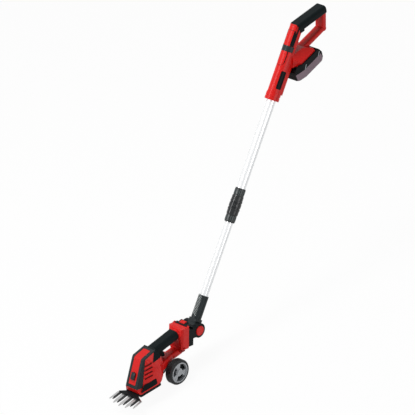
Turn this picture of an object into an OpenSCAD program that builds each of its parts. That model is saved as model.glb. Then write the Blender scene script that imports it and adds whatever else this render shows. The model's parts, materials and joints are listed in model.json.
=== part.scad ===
// Cordless grass shears on a telescopic pole, with a wheeled shear head that tilts on the pole.
// Lengths are millimetres. The head is laid out over the ground, with its wheel axle above the layout's origin,
// +X towards the blade, +Y to the left and +Z up. The finished part is then moved so that its origin is the
// middle of the grip.

/* [Wheels] */
// Diameter of a wheel over its tyre
wheel_d = 70; // [60:1:80]
// Width of a wheel
wheel_w = 22; // [18:1:26]
// Gap between the inner faces of the two wheels
wheel_gap = 50; // [48:1:60]
// Thickness of the tyre
tyre_t = 7; // [5:0.5:9]
// Diameter of the axle
axle_d = 8; // [6:0.5:10]

/* [Shear head] */
// Distance from the wheel axle to the front of the nose
head_l = 134; // [130:1:150]
// Height of the nose above the ground
head_h = 131; // [128:1:140]
// Width of the motor housing
nose_w = 76; // [74:1:84]
// Width of the flat crown along the top and front of the nose
crown_w = 40; // [36:1:46]
// Width of the coloured strip on the crown
strip_w = 25; // [20:1:28]
// Width of the dark frame round the strip
frame_w = 56; // [50:1:58]
// Height of the tray above the ground
tray_z = 34; // [32:1:38]
// Height of the tray
tray_h = 8; // [8:0.5:10]
// Wall thickness of the mouldings
wall = 2.4; // [2:0.1:3]

/* [Shear head grip] */
// Height of the soft grip
head_grip_h = 26; // [24:0.5:28]
// Width of the soft grip
head_grip_w = 33; // [31:0.5:36]
// Thickness of the soft skin on both grips
skin_t = 2.2; // [1.5:0.1:2.5]
// Width of the beam under the finger opening
head_beam_w = 31; // [28:1:34]
// Height of the beam under the finger opening
head_beam_h = 19; // [16:0.5:20]
// Width of the block that takes the pole adapter
block_w = 54; // [54:1:62]

/* [Blade] */
// Reach of the middle tine in front of the nose
blade_reach = 55; // [50:1:62]
// Width over the tips of the outer tines
blade_w = 88; // [84:1:96]
// Length of the tines
tine_l = 42; // [36:1:46]
// Thickness of each blade
blade_t = 1.6; // [1.2:0.1:2]
// Number of tines on the fixed blade
fixed_tines = 5; // [5:1:5]
// Sideways stroke of the moving blade to each side
stroke = 5.5; // [4:0.5:6]

/* [Drive] */
// Gear module
gear_module = 1; // [1:0.05:1.05]
// Teeth on the motor pinion
pinion_teeth = 12; // [12:1:14]
// Teeth on the drive gear
gear_teeth = 38; // [36:1:40]

/* [Pole] */
// Angle of the pole above the ground
pole_angle = 46.76; // [40:0.01:55]
// Outer diameter of the upper tube
tube_d = 25; // [24:0.5:26]
// Wall of both tubes
tube_t = 1.4; // [1.2:0.1:1.6]
// Distance from the tilt pivot to the top of the pole socket
socket_top = 91; // [80:1:100]
// Distance from the tilt pivot to the lower end of the clamp
clamp_low = 298; // [290:1:320]
// Length of the clamp
clamp_l = 95; // [90:1:100]
// Distance from the tilt pivot to the handle's collar
handle_s = 641; // [630:1:680]
// Travel of the lower tube into the upper one
telescope = 190; // [150:5:195]

/* [Tilt joint] */
// Diameter of the tilt hub
hub_d = 40; // [38:1:42]
// Width of the knuckle between the two ears
knuckle_w = 26; // [24:1:28]
// Thickness of each ear
ear_t = 13; // [12:0.5:14]
// Diameter of the tilt button
tilt_button_d = 27; // [24:1:30]
// Lean of the adapter and of the block that takes it
lean = 16.5; // [14:0.5:18]

/* [Top handle] */
// Diameter of the handle's sleeve
sleeve_d = 37; // [36:0.5:39]
// Diameter of the collar at the sleeve's lower end
collar_d = 40; // [39:0.5:42]
// Height of the soft grip
grip_h = 24; // [22:0.5:26]
// Width of the soft grip
grip_w = 36; // [34:0.5:38]
// Length of the soft grip
grip_l = 92; // [86:1:100]
// Angle between the grip and a square to the pole
grip_lean = 43.24; // [40:0.01:48]
// Angle between the battery deck and a square to the pole
deck_lean = 53.24; // [50:0.01:58]
// Width of the lower beam of the handle
beam_w = 28; // [26:1:32]
// Thickness of the lower beam and of the rear post
beam_t = 15; // [13:0.5:16]

/* [Battery] */
// Length of the battery's base
battery_l = 107; // [104:1:115]
// Width of the battery
battery_w = 76; // [74:1:80]
// Height of the battery
battery_h = 39.8; // [38:0.1:44]
// Diameter of a cell
cell_d = 18; // [16:0.5:18]
// Length of a cell
cell_l = 65; // [60:1:66]

/* [Hidden] */
$fn = 72;
// Room between pieces that move past each other
clear = 0.3;
// Room round a piece that is seated or that runs in a bore
fit = 0.05;
// Overrun of every cut
over = 2;
// Reach of the blocks that halve or trim a piece
far = 2000;
// Steps in a rounded corner of an outline
arc_steps = 5;

// Colours
red = [0.78, 0.06, 0.05];
black = [0.06, 0.06, 0.07];
grey = [0.22, 0.24, 0.25];
silver = [0.75, 0.76, 0.78];
steel = [0.55, 0.56, 0.58];
brass = [0.72, 0.58, 0.28];

// Places in the wheel set
wheel_r = wheel_d / 2;
wheel_in = wheel_gap / 2;
wheel_mid = wheel_in + wheel_w / 2;
wheel_out = wheel_in + wheel_w;
// Outline of the tyre's section, from its bore outwards, in shares of thickness and half width
tyre_shares = [[0, -1, 0], [0.7, -1, 0.25], [1, -0.72, 0.3], [1, 0.72, 0.3], [0.7, 1, 0.25], [0, 1, 0]];
rim_t = 3.5;
hub_barrel_d = 17;
spoke_t = 6;
hub_dish = 2.5;
spokes = 3;
spoke_share = 0.62;
spoke_phase = -32;
hub_edge = 1;
web_t = 2;
axle_seat = 6;

// Outlines of the nose: side view over the length and rise, top view over the length and width
nose_z = tray_z + tray_h;
nose_rise = head_h - nose_z;
nose_side_shares = [[0.478, 0, 0.04], [0.978, 0, 0.03], [1, 0.18, 0.03], [0.97, 0.27, 0.02],
    [0.664, 0.966, 0.1], [0.30, 1, 0.05], [0.20, 0.43, 0.06]];
nose_plan_shares = [[0.18, -0.26, 0.1], [0.37, -0.5, 0.15], [0.53, -0.5, 0.15], [1, -0.355, 0.1],
    [1, 0.355, 0.1], [0.53, 0.5, 0.15], [0.37, 0.5, 0.15], [0.18, 0.26, 0.1]];
nose_side = placed(nose_side_shares, [0, nose_z], [head_l, nose_rise]);
nose_plan = placed(nose_plan_shares, [0, 0], [head_l, nose_w]);
// Slope of the shoulders beside the crown
hip_share = 0.5;
hip = [[-crown_w / 2 - hip_share * head_h, -head_h, 0], [crown_w / 2 + hip_share * head_h, -head_h, 0],
    [crown_w / 2 - hip_share * over, over, 0], [-crown_w / 2 + hip_share * over, over, 0]];
bend = [nose_side[4].x, nose_side[4].y];
slope_foot = [nose_side[3].x, nose_side[3].y];
slope = atan2(bend.y - slope_foot.y, slope_foot.x - bend.x);
slope_l = norm(bend - slope_foot);
// Thickness of the strip and frame that are let into the crown
band_t = 3;
nose_wall = wall + band_t;
frame_rear = 0.33 * head_l;
strip_rear = 0.39 * head_l;

// Beam, neck and grip of the head
beam_z = 0.51 * head_h;
beam_front = 0.34 * head_l;
corner_share = 0.33;
block_x = -65;
block_z = 0.5344 * head_h;
neck_foot_fwd = 17;
neck_top_fwd = 7;
neck_drop = 4;
lip_drop = 11;
neck_foot = [block_x + neck_foot_fwd, beam_z - neck_drop];
neck_top = [block_x + neck_top_fwd, head_h - lip_drop];
neck_w = 44;
neck_t = 18;
head_grip_drop = 3;
head_grip_z = head_h - head_grip_drop - head_grip_h / 2;
head_grip_rear = block_x + neck_t;
core_h = head_grip_h - 2 * skin_t;
core_w = head_grip_w - 2 * skin_t;
core_cavity_front = 0.36 * head_l;
core_cavity_rear = block_x + neck_foot_fwd + neck_t;

// Block that takes the adapter, in its own leaning frame, and the rail between them
slab_t = 25;
slab_low = -4;
lip_t = 7;
lip_l = 27;
lip_front_w = 34;
lip_z = head_h - lip_drop;
slab_top = (lip_z + lip_t / 2 - block_z) / cos(lean);
lip_fwd = 5;
lip_chamfer = 14;
lip_rear = block_x - lip_l;
lip_front = block_x + lip_fwd;
lip_plan = [[lip_rear, -block_w / 2, 0], [lip_front - lip_chamfer, -block_w / 2, wall],
    [lip_front, -lip_front_w / 2, wall], [lip_front, lip_front_w / 2, wall],
    [lip_front - lip_chamfer, block_w / 2, wall], [lip_rear, block_w / 2, 0]];
rail_top = slab_top + lip_t + over;
rail_w = 40;
rail_low = 8;
rail_neck = 3;
rail_d = 6;
rail_flange = 3;
block_shares = [[0, -0.5, 0], [0.82, -0.5, 0.04], [1, -0.42, 0.04], [1, 0.42, 0.04], [0.82, 0.5, 0.04], [0, 0.5, 0]];

// Vents in the side of the nose
vents = 4;
vent_l = 29;
vent_h = 4.6;
vent_depth = 2;
vent_pitch = 0.105 * nose_rise;
vent_tilt = 9;
vent_low = [0.69 * head_l, nose_z + 0.46 * nose_rise];
vent_back_share = 0.5;

// Side plaque of the head
plaque_l = 50;
plaque_h = 13;
plaque_t = 1.2;
plaque_proud = 0.4;
plaque_slant = 9;
plaque_outline = [[-plaque_l / 2, -plaque_h / 2, plaque_h / 4], [plaque_l / 2, -plaque_h / 2, plaque_h / 4],
    [plaque_l / 2 - plaque_slant, plaque_h / 2, plaque_h / 4], [-plaque_l / 2, plaque_h / 2, plaque_h / 4]];
plaque_at = [0.68 * head_l, nose_z + 0.14 * nose_rise];
side_from = nose_plan[5];
side_to = nose_plan[4];
plaque_turn = atan2(side_from.y - side_to.y, side_to.x - side_from.x);

// Screws
screw_d = 3;
screw_head_d = 6;
screw_head_h = 2.4;
screw_sink = 1.5;
screw_l_share = 1.5;
boss_d = 10;
head_screws_at = [[0.36 * head_l, nose_z + 0.54 * nose_rise, 0.42 * nose_w], [0.14 * head_l, beam_z, head_beam_w / 2],
    [neck_foot.x, beam_z + head_beam_h / 2, neck_w / 2]];

// Blade release on the sloping front
release_button_l = 14;
release_button_w = 10;
release_button_t = 5;
release_button_proud = 1.5;
release_button_at = 0.64 * slope_l;

// Drive, stacked upwards from the tray's floor
floor_z = tray_z + 2;
fixed_z = floor_z + blade_t;
moving_z = fixed_z + clear;
moving_top = moving_z + blade_t;
yoke_h = 4;
crank_pin_d = 6;
crank_r = stroke;
crank_disc_d = 20;
crank_disc_t = 2.2;
shaft_d = 8;
bearing_d = 16;
plate_t = 4;
gear_w = 6;
gear_back = 0.246 * head_l;
motor_d = 0.239 * head_l;
box_wall = 2;
box_gap = 1;
cover_t = 3;
shelf_z = nose_z + nose_wall;
plate_z = shelf_z + fit;
gear_z = plate_z + plate_t + box_gap;
cover_z = gear_z + gear_w + 2 * box_gap;
motor_z = cover_z + cover_t;
motor_room = 16;
motor_l = head_h - nose_wall - motor_room - motor_z;
crank_disc_z = plate_z - clear - crank_disc_t;
drive_x = head_l - gear_back;
gear_centres = gear_module * (pinion_teeth + gear_teeth) / 2 + 2 * fit;
motor_x = drive_x - gear_centres;
tooth_out_share = 0.85;
tooth_in_share = 1.2;
tooth_width_share = 0.45;
pressure_angle = 20;
flank_steps = 4;
gear_tip = gear_module * (gear_teeth / 2 + tooth_out_share);
pinion_tip = gear_module * (pinion_teeth / 2 + tooth_out_share);
box_r = gear_tip + box_gap + box_wall;
motor_shaft_d = 4;
yoke_room = crank_r + crank_pin_d / 2 + 2 * clear;
yoke_wall = 3.5;
yoke_half = yoke_room + stroke + yoke_wall;
yoke_l = 2 * yoke_room + 2 * yoke_wall;

// Blades
tip_x = head_l + blade_reach;
root_x = tip_x - tine_l;
tine_pitch = blade_w / (fixed_tines - 1);
tip_arc_r = 1.1 * blade_w;
tine_root_share = 0.46;
moving_root_share = 0.4;
tine_tip_share = 0.06;
moving_short = 6;
blade_neck_w = 42;
moving_neck_w = 30;
blade_rear = drive_x - yoke_l / 2 - yoke_wall;
guard_w = 44;
guard_in = 16;
guard_rear = head_l - guard_in;
guard_front_share = 0.44;
knee_share = 0.72;
knee_w_share = 0.72;
tray_rear = 0.478 * head_l;

// Telescopic pole, measured from the tilt pivot
hub_back = 41.8;
hub_up = 33.5;
pivot_x = block_x - hub_back * cos(lean) - hub_up * sin(lean);
pivot_z = block_z - hub_back * sin(lean) + hub_up * cos(lean);
hub_r = hub_d / 2;
tube_gap = 0.1;
inner_d = tube_d - 2 * tube_t - 2 * tube_gap;
socket_d = 28;
socket_rise = 4.5;
socket_low = hub_r + socket_rise;
tube_seat = 34;
flutes = 10;
flute_d = 3;
clamp_top = clamp_low + clamp_l;
clamp_mid = clamp_low + clamp_l / 2;
clamp_d = 33;
// Outline of half the clamp from its middle to its end, in shares of the radius and length
clamp_shares = [[1, 0], [1, 0.1], [0.94, 0.12], [0.94, 0.16], [1, 0.18], [1, 0.26], [0.95, 0.30], [0.95, 0.52],
    [0.87, 0.58], [0.86, 0.96], [0.83, 1]];
clamp_flute_at = 0.86 * clamp_d / 2 + flute_d / 3;
clamp_flute_share = 0.63;
clamp_flute_l_share = 0.28;
tube_lap = 38;
tube_low = clamp_low + tube_lap;
collet_in = 27;
collet_low = clamp_low + collet_in;
collet_d = 26.8;
collet_slits = 6;
tube_in = 79;
lower_lap = 40;
lower_top = clamp_top + lower_lap;
plug_l = 14;
plug_flange = 3;

// Adapter in the block's leaning frame, and the cap over the block's lip in the layout
adapter_t = 18;
adapter_w = 52;
adapter_low = -1;
adapter_drop = 10;
cap_t = 4;
cap_w = 28;
cap_back = 30;
cap_fwd = 13;
cap_proud = 1;
cap_z = lip_z + lip_t + cap_proud - cap_t;
cap_plan = [[block_x - cap_back, -cap_w / 2, wall], [block_x - cap_fwd, -cap_w / 2, wall],
    [block_x - cap_fwd, cap_w / 2, wall], [block_x - cap_back, cap_w / 2, wall]];
adapter_top = slab_top - adapter_drop;
spine_top = slab_top + lip_t + cap_t;
spine_t = 9;
arm_h = 34;
arm_share = 0.1;
hub_w = knuckle_w + 2 * ear_t;
knuckle_gap = 4;
knuckle_room = hub_r + knuckle_gap;
bump = [-26, 45];
bump_h = 9;
bump_w = 18;
latch_l = 11;
latch_w = 18;
latch_back = 27;
latch_x = block_x - latch_back;
latch_proud = 1.5;
latch_travel = 2;
latch_low = cap_z + latch_travel;
pivot_pin_d = 8;
tilt_button_t = 9;
tilt_proud = 3;
tilt_travel = 3;
tilt_edge = 1.2;
tilt_room = tilt_button_t - tilt_proud + tilt_travel + clear;

// Top handle: places along and across the pole, from the lower end of the collar
sleeve_r = sleeve_d / 2;
collar_l = 21;
groove_l = 2;
groove_at = 9;
groove_d = 1;
collar_edge = 1;
collar_r = collar_d / 2;
back_t = -20;
back_front = 4;
back_mid = (back_t + back_front) / 2;
back_w = sleeve_d - 1;
loop_foot = 126;
wall_back = -5;
bend_top = 232;
bend_depth = 90;
bend_mid = grip_h / 2 - bend_depth / 2;
grip_t = -33.9;
grip_at = 238.8;
grip_back = 53;
grip_fwd = 44;
soft_front = 56;
soft_side = 6;
soft_gap = 0.6;
post_top = [-50, 1];
post_w = 30;
post_round = 13;
deck_t = -71.4;
deck_h = 169.8;
deck_gap = 0.4;
beam_v = 14;
beam_rear_u = -60;
beam_front_u = 82;
beam_rear = [deck_t + beam_rear_u * cos(deck_lean) + beam_v * sin(deck_lean) - grip_t,
    deck_h - beam_rear_u * sin(deck_lean) + beam_v * cos(deck_lean) - grip_at];
post_foot = [beam_rear.x * cos(grip_lean) - beam_rear.y * sin(grip_lean),
    beam_rear.x * sin(grip_lean) + beam_rear.y * cos(grip_lean)];
foot_shares = [[0, 0, 0], [1, 0, 0], [0.85, 1, 0], [0.3, 0.85, 0], [0, 0.3, 0]];
foot_l = 78;
foot_rear = 11;
foot_h = 32;
foot_w = 67;
foot_edge = 5;
foot_top_w = 32;
foot_plan_shares = [[-0.1, -0.5, 0], [0.7, -0.5, 0.08], [1.05, -0.23, 0], [1.05, 0.23, 0], [0.7, 0.5, 0.08],
    [-0.1, 0.5, 0]];
handle_cavity_r = 13.6;
handle_cavity_low = 86;
handle_cavity_top = 196;
loop_cavity_t = 13;
loop_cavity_w = 23;
loop_cavity_mid = wall_back + wall + loop_cavity_t / 2;
ridge_w = 23;
ridge_low = 95;
ridge_top = 192;
ridge_t = 2.6;
ridge_proud = 0.4;
lock_low = 135;
lock_l = 15;
lock_t = 3;
lock_front = 4;
lock_travel = 1.2;
lock_proud = 0.5;
handle_plaque_l = 50;
handle_plaque_w = 15;
handle_plaque_low = 32;
handle_plaque_turn = 64;
back_screw_t = -15.5;
back_screw_w = 17;
back_screws_h = [40, 88, 118];
handle_screws_at = [for (h = back_screws_h) [back_screw_t, h, back_screw_w]];
deck_screw_u = 12;
deck_screws_at = [[deck_screw_u, beam_v, beam_w / 2]];

// Bracket that carries the axle under the head's beam
bracket_w = 40;
bracket_l = 18;
bracket_boss_d = 18;
bracket_in = 5;
bracket_top = beam_z - head_beam_h / 2 - neck_drop;

// Triggers
trigger_w = 14;
trigger_pin_d = 5;
trigger_swing = 8;
head_trigger_pin = [0.22 * head_l, head_grip_z - 4];
head_trigger_l = 27;
head_trigger_h = 31;
head_trigger_shares = [[0.2, 0.18, 0.1], [-0.2, 0.14, 0], [-0.62, 0.0, 0.1], [-0.95, -0.7, 0.05], [-0.9, -0.95, 0.06],
    [-0.66, -0.95, 0.06], [-0.45, -0.5, 0.25], [0.12, -0.2, 0.1]];
handle_trigger_pin = [66.5, -17.2];
handle_trigger_l = 40;
handle_trigger_h = 24;
handle_trigger_shares = [[0.1, 0.17, 0.08], [-0.7, 0.2, 0.1], [-0.97, 0.05, 0.1], [-0.95, -0.22, 0.1], [-0.6, -0.2, 0.3],
    [-0.3, -0.5, 0.2], [0.05, -0.28, 0.15]];
switch_l = 18;
switch_w = 12;
switch_h = 9;
head_trigger_back_share = 1.2;
head_trigger_fwd_share = 0.3;
head_trigger_roof_share = 0.1;
handle_trigger_back = 44;
handle_trigger_fwd = 8;
handle_trigger_drop = 24;
handle_pin_l = 30.6;
handle_switch_from = 2;

// Battery, from its upper rear edge along the deck
battery_side_shares = [[0, 0, 0.06], [-0.06, -0.37, 0.1], [-0.04, -0.78, 0.1], [0.045, -1, 0.08], [0.84, -1, 0.1],
    [0.945, -0.85, 0.08], [0.90, -0.3, 0.06], [0.78, 0, 0.06]];
battery_plan_shares = [[-0.2, -0.5, 0.1], [0.66, -0.5, 0.1], [1.0, -0.36, 0.08], [1.0, 0.36, 0.08], [0.66, 0.5, 0.1],
    [-0.2, 0.5, 0.1]];
battery_split = -24.5;
battery_side = placed(battery_side_shares, [0, 0], [battery_l, battery_h]);
battery_plan = placed(battery_plan_shares, [0, 0], [battery_l, battery_w]);
contact_room_w = 34;
contact_room_d = 9;
contact_from = 28;
contact_l = 30;
contact_w = 30;
deck_rail_y = 25;
deck_rail_w = 4;
deck_rail_h = 6;
deck_flange_w = 8;
deck_flange_h = 2;
deck_rail_from = 16;
deck_rail_to = 80;
cells = 4;
cell_from = 12;
cell_pitch = cell_d + clear;
board_t = 1.6;
release_w = 26;
release_h = 9;
release_d = 8;
release_at = -19;
release_proud = 1;
release_u = battery_side[1].x - release_proud;
release_travel = 2;
accent_l = 2.4;
accent_h = 14;
accent_t = 0.8;
accents_at = [6, 62];
accent_v = -12;
board_from = 4;
board_l = 72;
board_w = 58;
accent_lean = -40;

// Middle of the top handle's grip in the layout, which becomes the origin of the part
pole_turn = pole_angle - 90;
grip_reach = handle_s + grip_at;
grip_x = pivot_x + grip_t * cos(pole_turn) + grip_reach * sin(pole_turn);
grip_z = pivot_z - grip_t * sin(pole_turn) + grip_reach * cos(pole_turn);

// Outline helpers: points are [across, up, corner radius], listed counter-clockwise
function placed(shares, from, size) = [for (s = shares) [from.x + s.x * size.x, from.y + s.y * size.y, s.z * size.y]];
function flat(p) = [p.x, p.y];
function unit(v) = v / norm(v);
function left(v) = [-v.y, v.x];
function turn_of(u, v) = atan2(u.x * v.y - u.y * v.x, u * v);
function spun(v, a) = [v.x * cos(a) - v.y * sin(a), v.x * sin(a) + v.y * cos(a)];
function before(p, i) = flat(p[(i + len(p) - 1) % len(p)]);
function after(p, i) = flat(p[(i + 1) % len(p)]);
function corner(a, b, c, r) =
    let (u = unit(b - a), v = unit(c - b), turn = turn_of(u, v))
    let (back = abs(r * tan(turn / 2)), middle = b - u * back + left(u) * (r * sign(turn)))
    r <= 0 ? [b] : [for (i = [0 : arc_steps]) middle + spun(b - u * back - middle, turn * i / arc_steps)];
function rounded(p) = [for (i = [0 : len(p) - 1]) each corner(before(p, i), flat(p[i]), after(p, i), p[i].z)];
function inset(p, d) = [for (i = [0 : len(p) - 1])
    let (u = unit(flat(p[i]) - before(p, i)), v = unit(after(p, i) - flat(p[i])))
    let (q = flat(p[i]) + (left(u) + left(v)) * d / (1 + left(u) * left(v)))
    [q.x, q.y, max(p[i].z - d * sign(turn_of(u, v)), 0)]];
function oblong(l, w, r) = [[-l / 2, -w / 2, r], [l / 2, -w / 2, r], [l / 2, w / 2, r], [-l / 2, w / 2, r]];

// Solids drawn from an outline: side view, top view and view along X
module side(p, w) { rotate([90, 0, 0]) linear_extrude(w, center = true) polygon(rounded(p)); }
module plan(p, z0, z1) { translate([0, 0, z0]) linear_extrude(z1 - z0) polygon(rounded(p)); }
module along(p, x0, x1) { translate([x0, 0, 0]) rotate([90, 0, 90]) linear_extrude(x1 - x0) polygon(rounded(p)); }
module across(d, w) { rotate([90, 0, 0]) cylinder(d = d, h = w, center = true); }
module block(x, y, z) { translate([x[0], y[0], z[0]]) cube([x[1] - x[0], y[1] - y[0], z[1] - z[0]]); }
// Bar of rounded section from a to b in the XZ plane
module limb(a, b, w, h, share = corner_share, grow = 0) {
    d = b - a;
    translate([a.x, 0, a.y]) rotate([0, atan2(d.x, d.y), 0]) translate([0, 0, -grow])
        linear_extrude(norm(d) + 2 * grow)
            polygon(rounded(oblong(h + 2 * grow, w + 2 * grow, share * min(w, h) + grow)));
}
module half(s) { translate([-far, s > 0 ? 0 : -far, -far]) cube([2 * far, far, 2 * far]); }

// Frames: the part's own, the leaning block, the pole, the handle, its grip and its battery deck
module part_frame() { translate([-grip_x, 0, -grip_z]) children(); }
module on_block() { translate([block_x, 0, block_z]) rotate([0, -lean, 0]) children(); }
module on_pole(s = 0) { translate([pivot_x, 0, pivot_z]) rotate([0, pole_turn, 0]) translate([0, 0, s]) children(); }
module on_handle() { on_pole(handle_s) children(); }
module on_grip() { on_handle() translate([grip_t, 0, grip_at]) rotate([0, grip_lean, 0]) children(); }
module on_deck() { on_handle() translate([deck_t, 0, deck_h]) rotate([0, deck_lean, 0]) children(); }
module on_slope() { translate([bend.x, 0, bend.y]) rotate([0, slope, 0]) children(); }

// Shear head: the moulded body
module nose(i = 0) {
    intersection() {
        side(inset(nose_side, i), nose_w + 2 * over);
        plan(inset(nose_plan, i), 0, head_h + over);
        translate([0, 0, head_h]) along(inset(hip, i), -over, head_l + over);
        on_slope() along(inset(hip, i), -head_l, head_l);
    }
}
// Layer of the nose along its crown, down to a depth
module crown(depth, rear) {
    outer = inset(nose_side, -over);
    inner = inset(nose_side, depth);
    rows = [2, 3, 4, 5];
    intersection() {
        rotate([90, 0, 0]) linear_extrude(frame_w, center = true)
            polygon(concat([for (i = rows) flat(outer[i])], [for (i = [3 : -1 : 0]) flat(inner[rows[i]])]));
        block([rear, head_l + 2 * over], [-nose_w, nose_w], [nose_z, head_h + 2 * over]);
    }
}
module strip_room(g) {
    block([strip_rear - g, head_l + over], [-strip_w / 2 - g, strip_w / 2 + g], [slope_foot.y - g, head_h + over]);
}
module slab() {
    difference() {
        union() {
            on_block() plan(placed(block_shares, [0, 0], [slab_t, block_w]), slab_low, slab_top);
            plan(lip_plan, lip_z, lip_z + lip_t);
        }
        on_block() block([-far, 0], [-far, far], [-far, far]);
        plan(inset(cap_plan, -clear), cap_z - clear, head_h + head_h);
    }
}
module rail(g) {
    block([-over, rail_neck + g], [-rail_w / 2 - g, rail_w / 2 + g], [rail_low - g, rail_top]);
    block([rail_neck - g, rail_d + g], [-rail_w / 2 - rail_flange - g, rail_w / 2 + rail_flange + g],
        [rail_low - g, rail_top]);
}
module neck(g = 0) { limb(neck_foot, neck_top, neck_w, neck_t, corner_share, g); }
module head_core(x0, x1, t) {
    limb([x1, head_grip_z], [x0, head_grip_z], core_w - 2 * t, core_h - 2 * t);
}
module trigger_room_head() {
    block([head_trigger_pin.x - head_trigger_back_share * head_trigger_l,
        head_trigger_pin.x + head_trigger_fwd_share * head_trigger_l],
        [-trigger_w / 2 - clear, trigger_w / 2 + clear],
        [head_trigger_pin.y - head_trigger_h, head_grip_z + head_trigger_roof_share * core_h]);
}
module vent_row() {
    for (i = [0 : vents - 1])
        translate([vent_low.x - vent_back_share * i * vent_pitch, 0, vent_low.y + i * vent_pitch])
            rotate([0, -vent_tilt, 0]) rotate([90, 0, 0])
                linear_extrude(nose_w + 2 * over, center = true) polygon(rounded(oblong(vent_l, vent_h, vent_h / 3)));
}
// Screws lie across the part: places are [along, up, half width of the moulding there]
module screw_holes(places, s) {
    for (p = places) translate([p.x, 0, p.y]) rotate([-90 * s, 0, 0]) {
        translate([0, 0, -p.z / 2 - fit]) cylinder(d = screw_d + 2 * fit, h = screw_l_share * p.z);
        translate([0, 0, p.z - screw_sink - screw_head_h - fit]) cylinder(d = screw_head_d + 2 * fit, h = nose_w);
    }
}
module screws(places, s) {
    for (p = places) translate([p.x, 0, p.y]) rotate([-90 * s, 0, 0]) {
        translate([0, 0, -p.z / 2]) cylinder(d = screw_d, h = screw_l_share * p.z - screw_sink - screw_head_h);
        translate([0, 0, p.z - screw_sink - screw_head_h]) cylinder(d = screw_head_d, h = screw_head_h);
    }
}
module head_outer() {
    nose();
    limb([beam_front, beam_z], neck_foot, head_beam_w, head_beam_h);
    neck();
    slab();
    head_core(head_grip_rear - neck_t / 2, beam_front, 0);
}
module head_boss() {
    p = head_screws_at[0];
    intersection() {
        nose(wall);
        translate([p.x, 0, p.y]) across(boss_d, nose_w);
    }
}
module head_body() {
    difference() {
        union() {
            difference() {
                head_outer();
                nose(nose_wall);
                head_core(core_cavity_rear, core_cavity_front, wall);
            }
            head_boss();
        }
        intersection() {
            nose(-over);
            crown(band_t, frame_rear - fit);
        }
        block([drive_x - yoke_l / 2 - clear, drive_x + yoke_l / 2 + clear],
            [-yoke_half - stroke - clear, yoke_half + stroke + clear], [nose_z - over, shelf_z + over]);
        trigger_room_head();
        translate([head_trigger_pin.x, 0, head_trigger_pin.y]) across(trigger_pin_d + 2 * fit, core_w - wall);
        difference() {
            vent_row();
            nose(vent_depth);
        }
        plaque_room(fit);
        on_block() rail(clear);
        screw_holes(head_screws_at, 1);
        on_slope() release_stem(clear, nose_wall + over);
        bracket_foot(fit);
    }
}
module head_shell_left() { color(red) intersection() { head_body(); half(1); } }
module head_shell_right() { color(red) intersection() { head_body(); half(-1); } }
module nose_frame() {
    color(grey) difference() {
        intersection() {
            nose();
            crown(band_t - fit, frame_rear);
        }
        strip_room(0);
    }
}
module nose_strip() {
    color(red) difference() {
        intersection() {
            nose();
            crown(band_t - fit, frame_rear);
            strip_room(-clear);
        }
        on_slope() release_stem(clear, nose_wall);
    }
}
module head_soft_grip() {
    color(black) difference() {
        limb([nose_side[5].x, head_grip_z], [head_grip_rear, head_grip_z], head_grip_w, head_grip_h);
        limb([beam_front, head_grip_z], [head_grip_rear - over, head_grip_z], core_w + 2 * fit, core_h + 2 * fit);
        nose(-fit);
        neck(fit);
        trigger_room_head();
    }
}
module plaque_room(g) {
    translate([plaque_at.x, side_from.y - (plaque_at.x - side_from.x) * tan(plaque_turn), plaque_at.y])
        rotate([0, 0, -plaque_turn]) translate([0, plaque_proud - plaque_t / 2, 0]) rotate([90, 0, 0])
            linear_extrude(plaque_t, center = true)
                polygon(rounded(inset(plaque_outline, -g)));
}
module head_plaque() {
    color(black) intersection() {
        plaque_room(0);
        nose(-plaque_proud);
    }
}
module release_stem(g, depth) {
    translate([release_button_at, 0, -depth]) linear_extrude(depth + over)
        polygon(rounded(oblong(release_button_l + 2 * g, release_button_w + 2 * g, release_button_w / 2 - fit)));
}
module blade_release_button() {
    color(grey) on_slope() translate([release_button_at, 0, release_button_proud - release_button_t])
        linear_extrude(release_button_t)
            polygon(rounded(oblong(release_button_l, release_button_w, release_button_w / 2 - fit)));
}
module head_trigger() {
    color(black) translate([head_trigger_pin.x, 0, head_trigger_pin.y]) {
        side(placed(head_trigger_shares, [0, 0], [head_trigger_l, head_trigger_h]), trigger_w);
        across(trigger_pin_d, core_w - wall - 2 * clear);
    }
}
module head_switch() {
    low = head_grip_z - core_h / 2 + wall;
    color(grey) block([core_cavity_rear + fit, core_cavity_rear + switch_l], [-switch_w / 2, switch_w / 2],
        [low, low + switch_h]);
}
module head_screws() { color(steel) screws(head_screws_at, 1); }

// Shear head: tray and blades
module base_tray() {
    front = nose_side[1].x;
    color(black) difference() {
        intersection() {
            plan(nose_plan, tray_z, nose_z);
            block([tray_rear, front], [-nose_w, nose_w], [0, head_h]);
        }
        intersection() {
            plan(inset(nose_plan, wall), floor_z, nose_z + over);
            block([tray_rear + wall, front - wall], [-nose_w, nose_w], [0, head_h]);
        }
        block([front - wall - over, tip_x], [-guard_w / 2 - fit, guard_w / 2 + fit], [floor_z, nose_z + over]);
    }
}
function tip_at(y) = tip_x - tip_arc_r + sqrt(tip_arc_r * tip_arc_r - y * y);
module tine(y, share, tip) {
    base = share * tine_pitch / 2;
    point = tine_tip_share * tine_pitch;
    knee = root_x + knee_share * (tip - root_x);
    knee_w = point + knee_w_share * (base - point);
    polygon([[root_x - over, y - base], [root_x, y - base], [knee, y - knee_w], [tip, y - point], [tip, y + point],
        [knee, y + knee_w], [root_x, y + base], [root_x - over, y + base]]);
}
module blade_back(neck_width, rear_width, width) {
    polygon([[blade_rear, -rear_width / 2], [guard_rear, -rear_width / 2], [guard_rear, -neck_width / 2],
        [head_l, -neck_width / 2], [root_x - over, -width / 2], [root_x, -width / 2], [root_x, width / 2],
        [root_x - over, width / 2], [head_l, neck_width / 2], [guard_rear, neck_width / 2],
        [guard_rear, rear_width / 2], [blade_rear, rear_width / 2]]);
}
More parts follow.
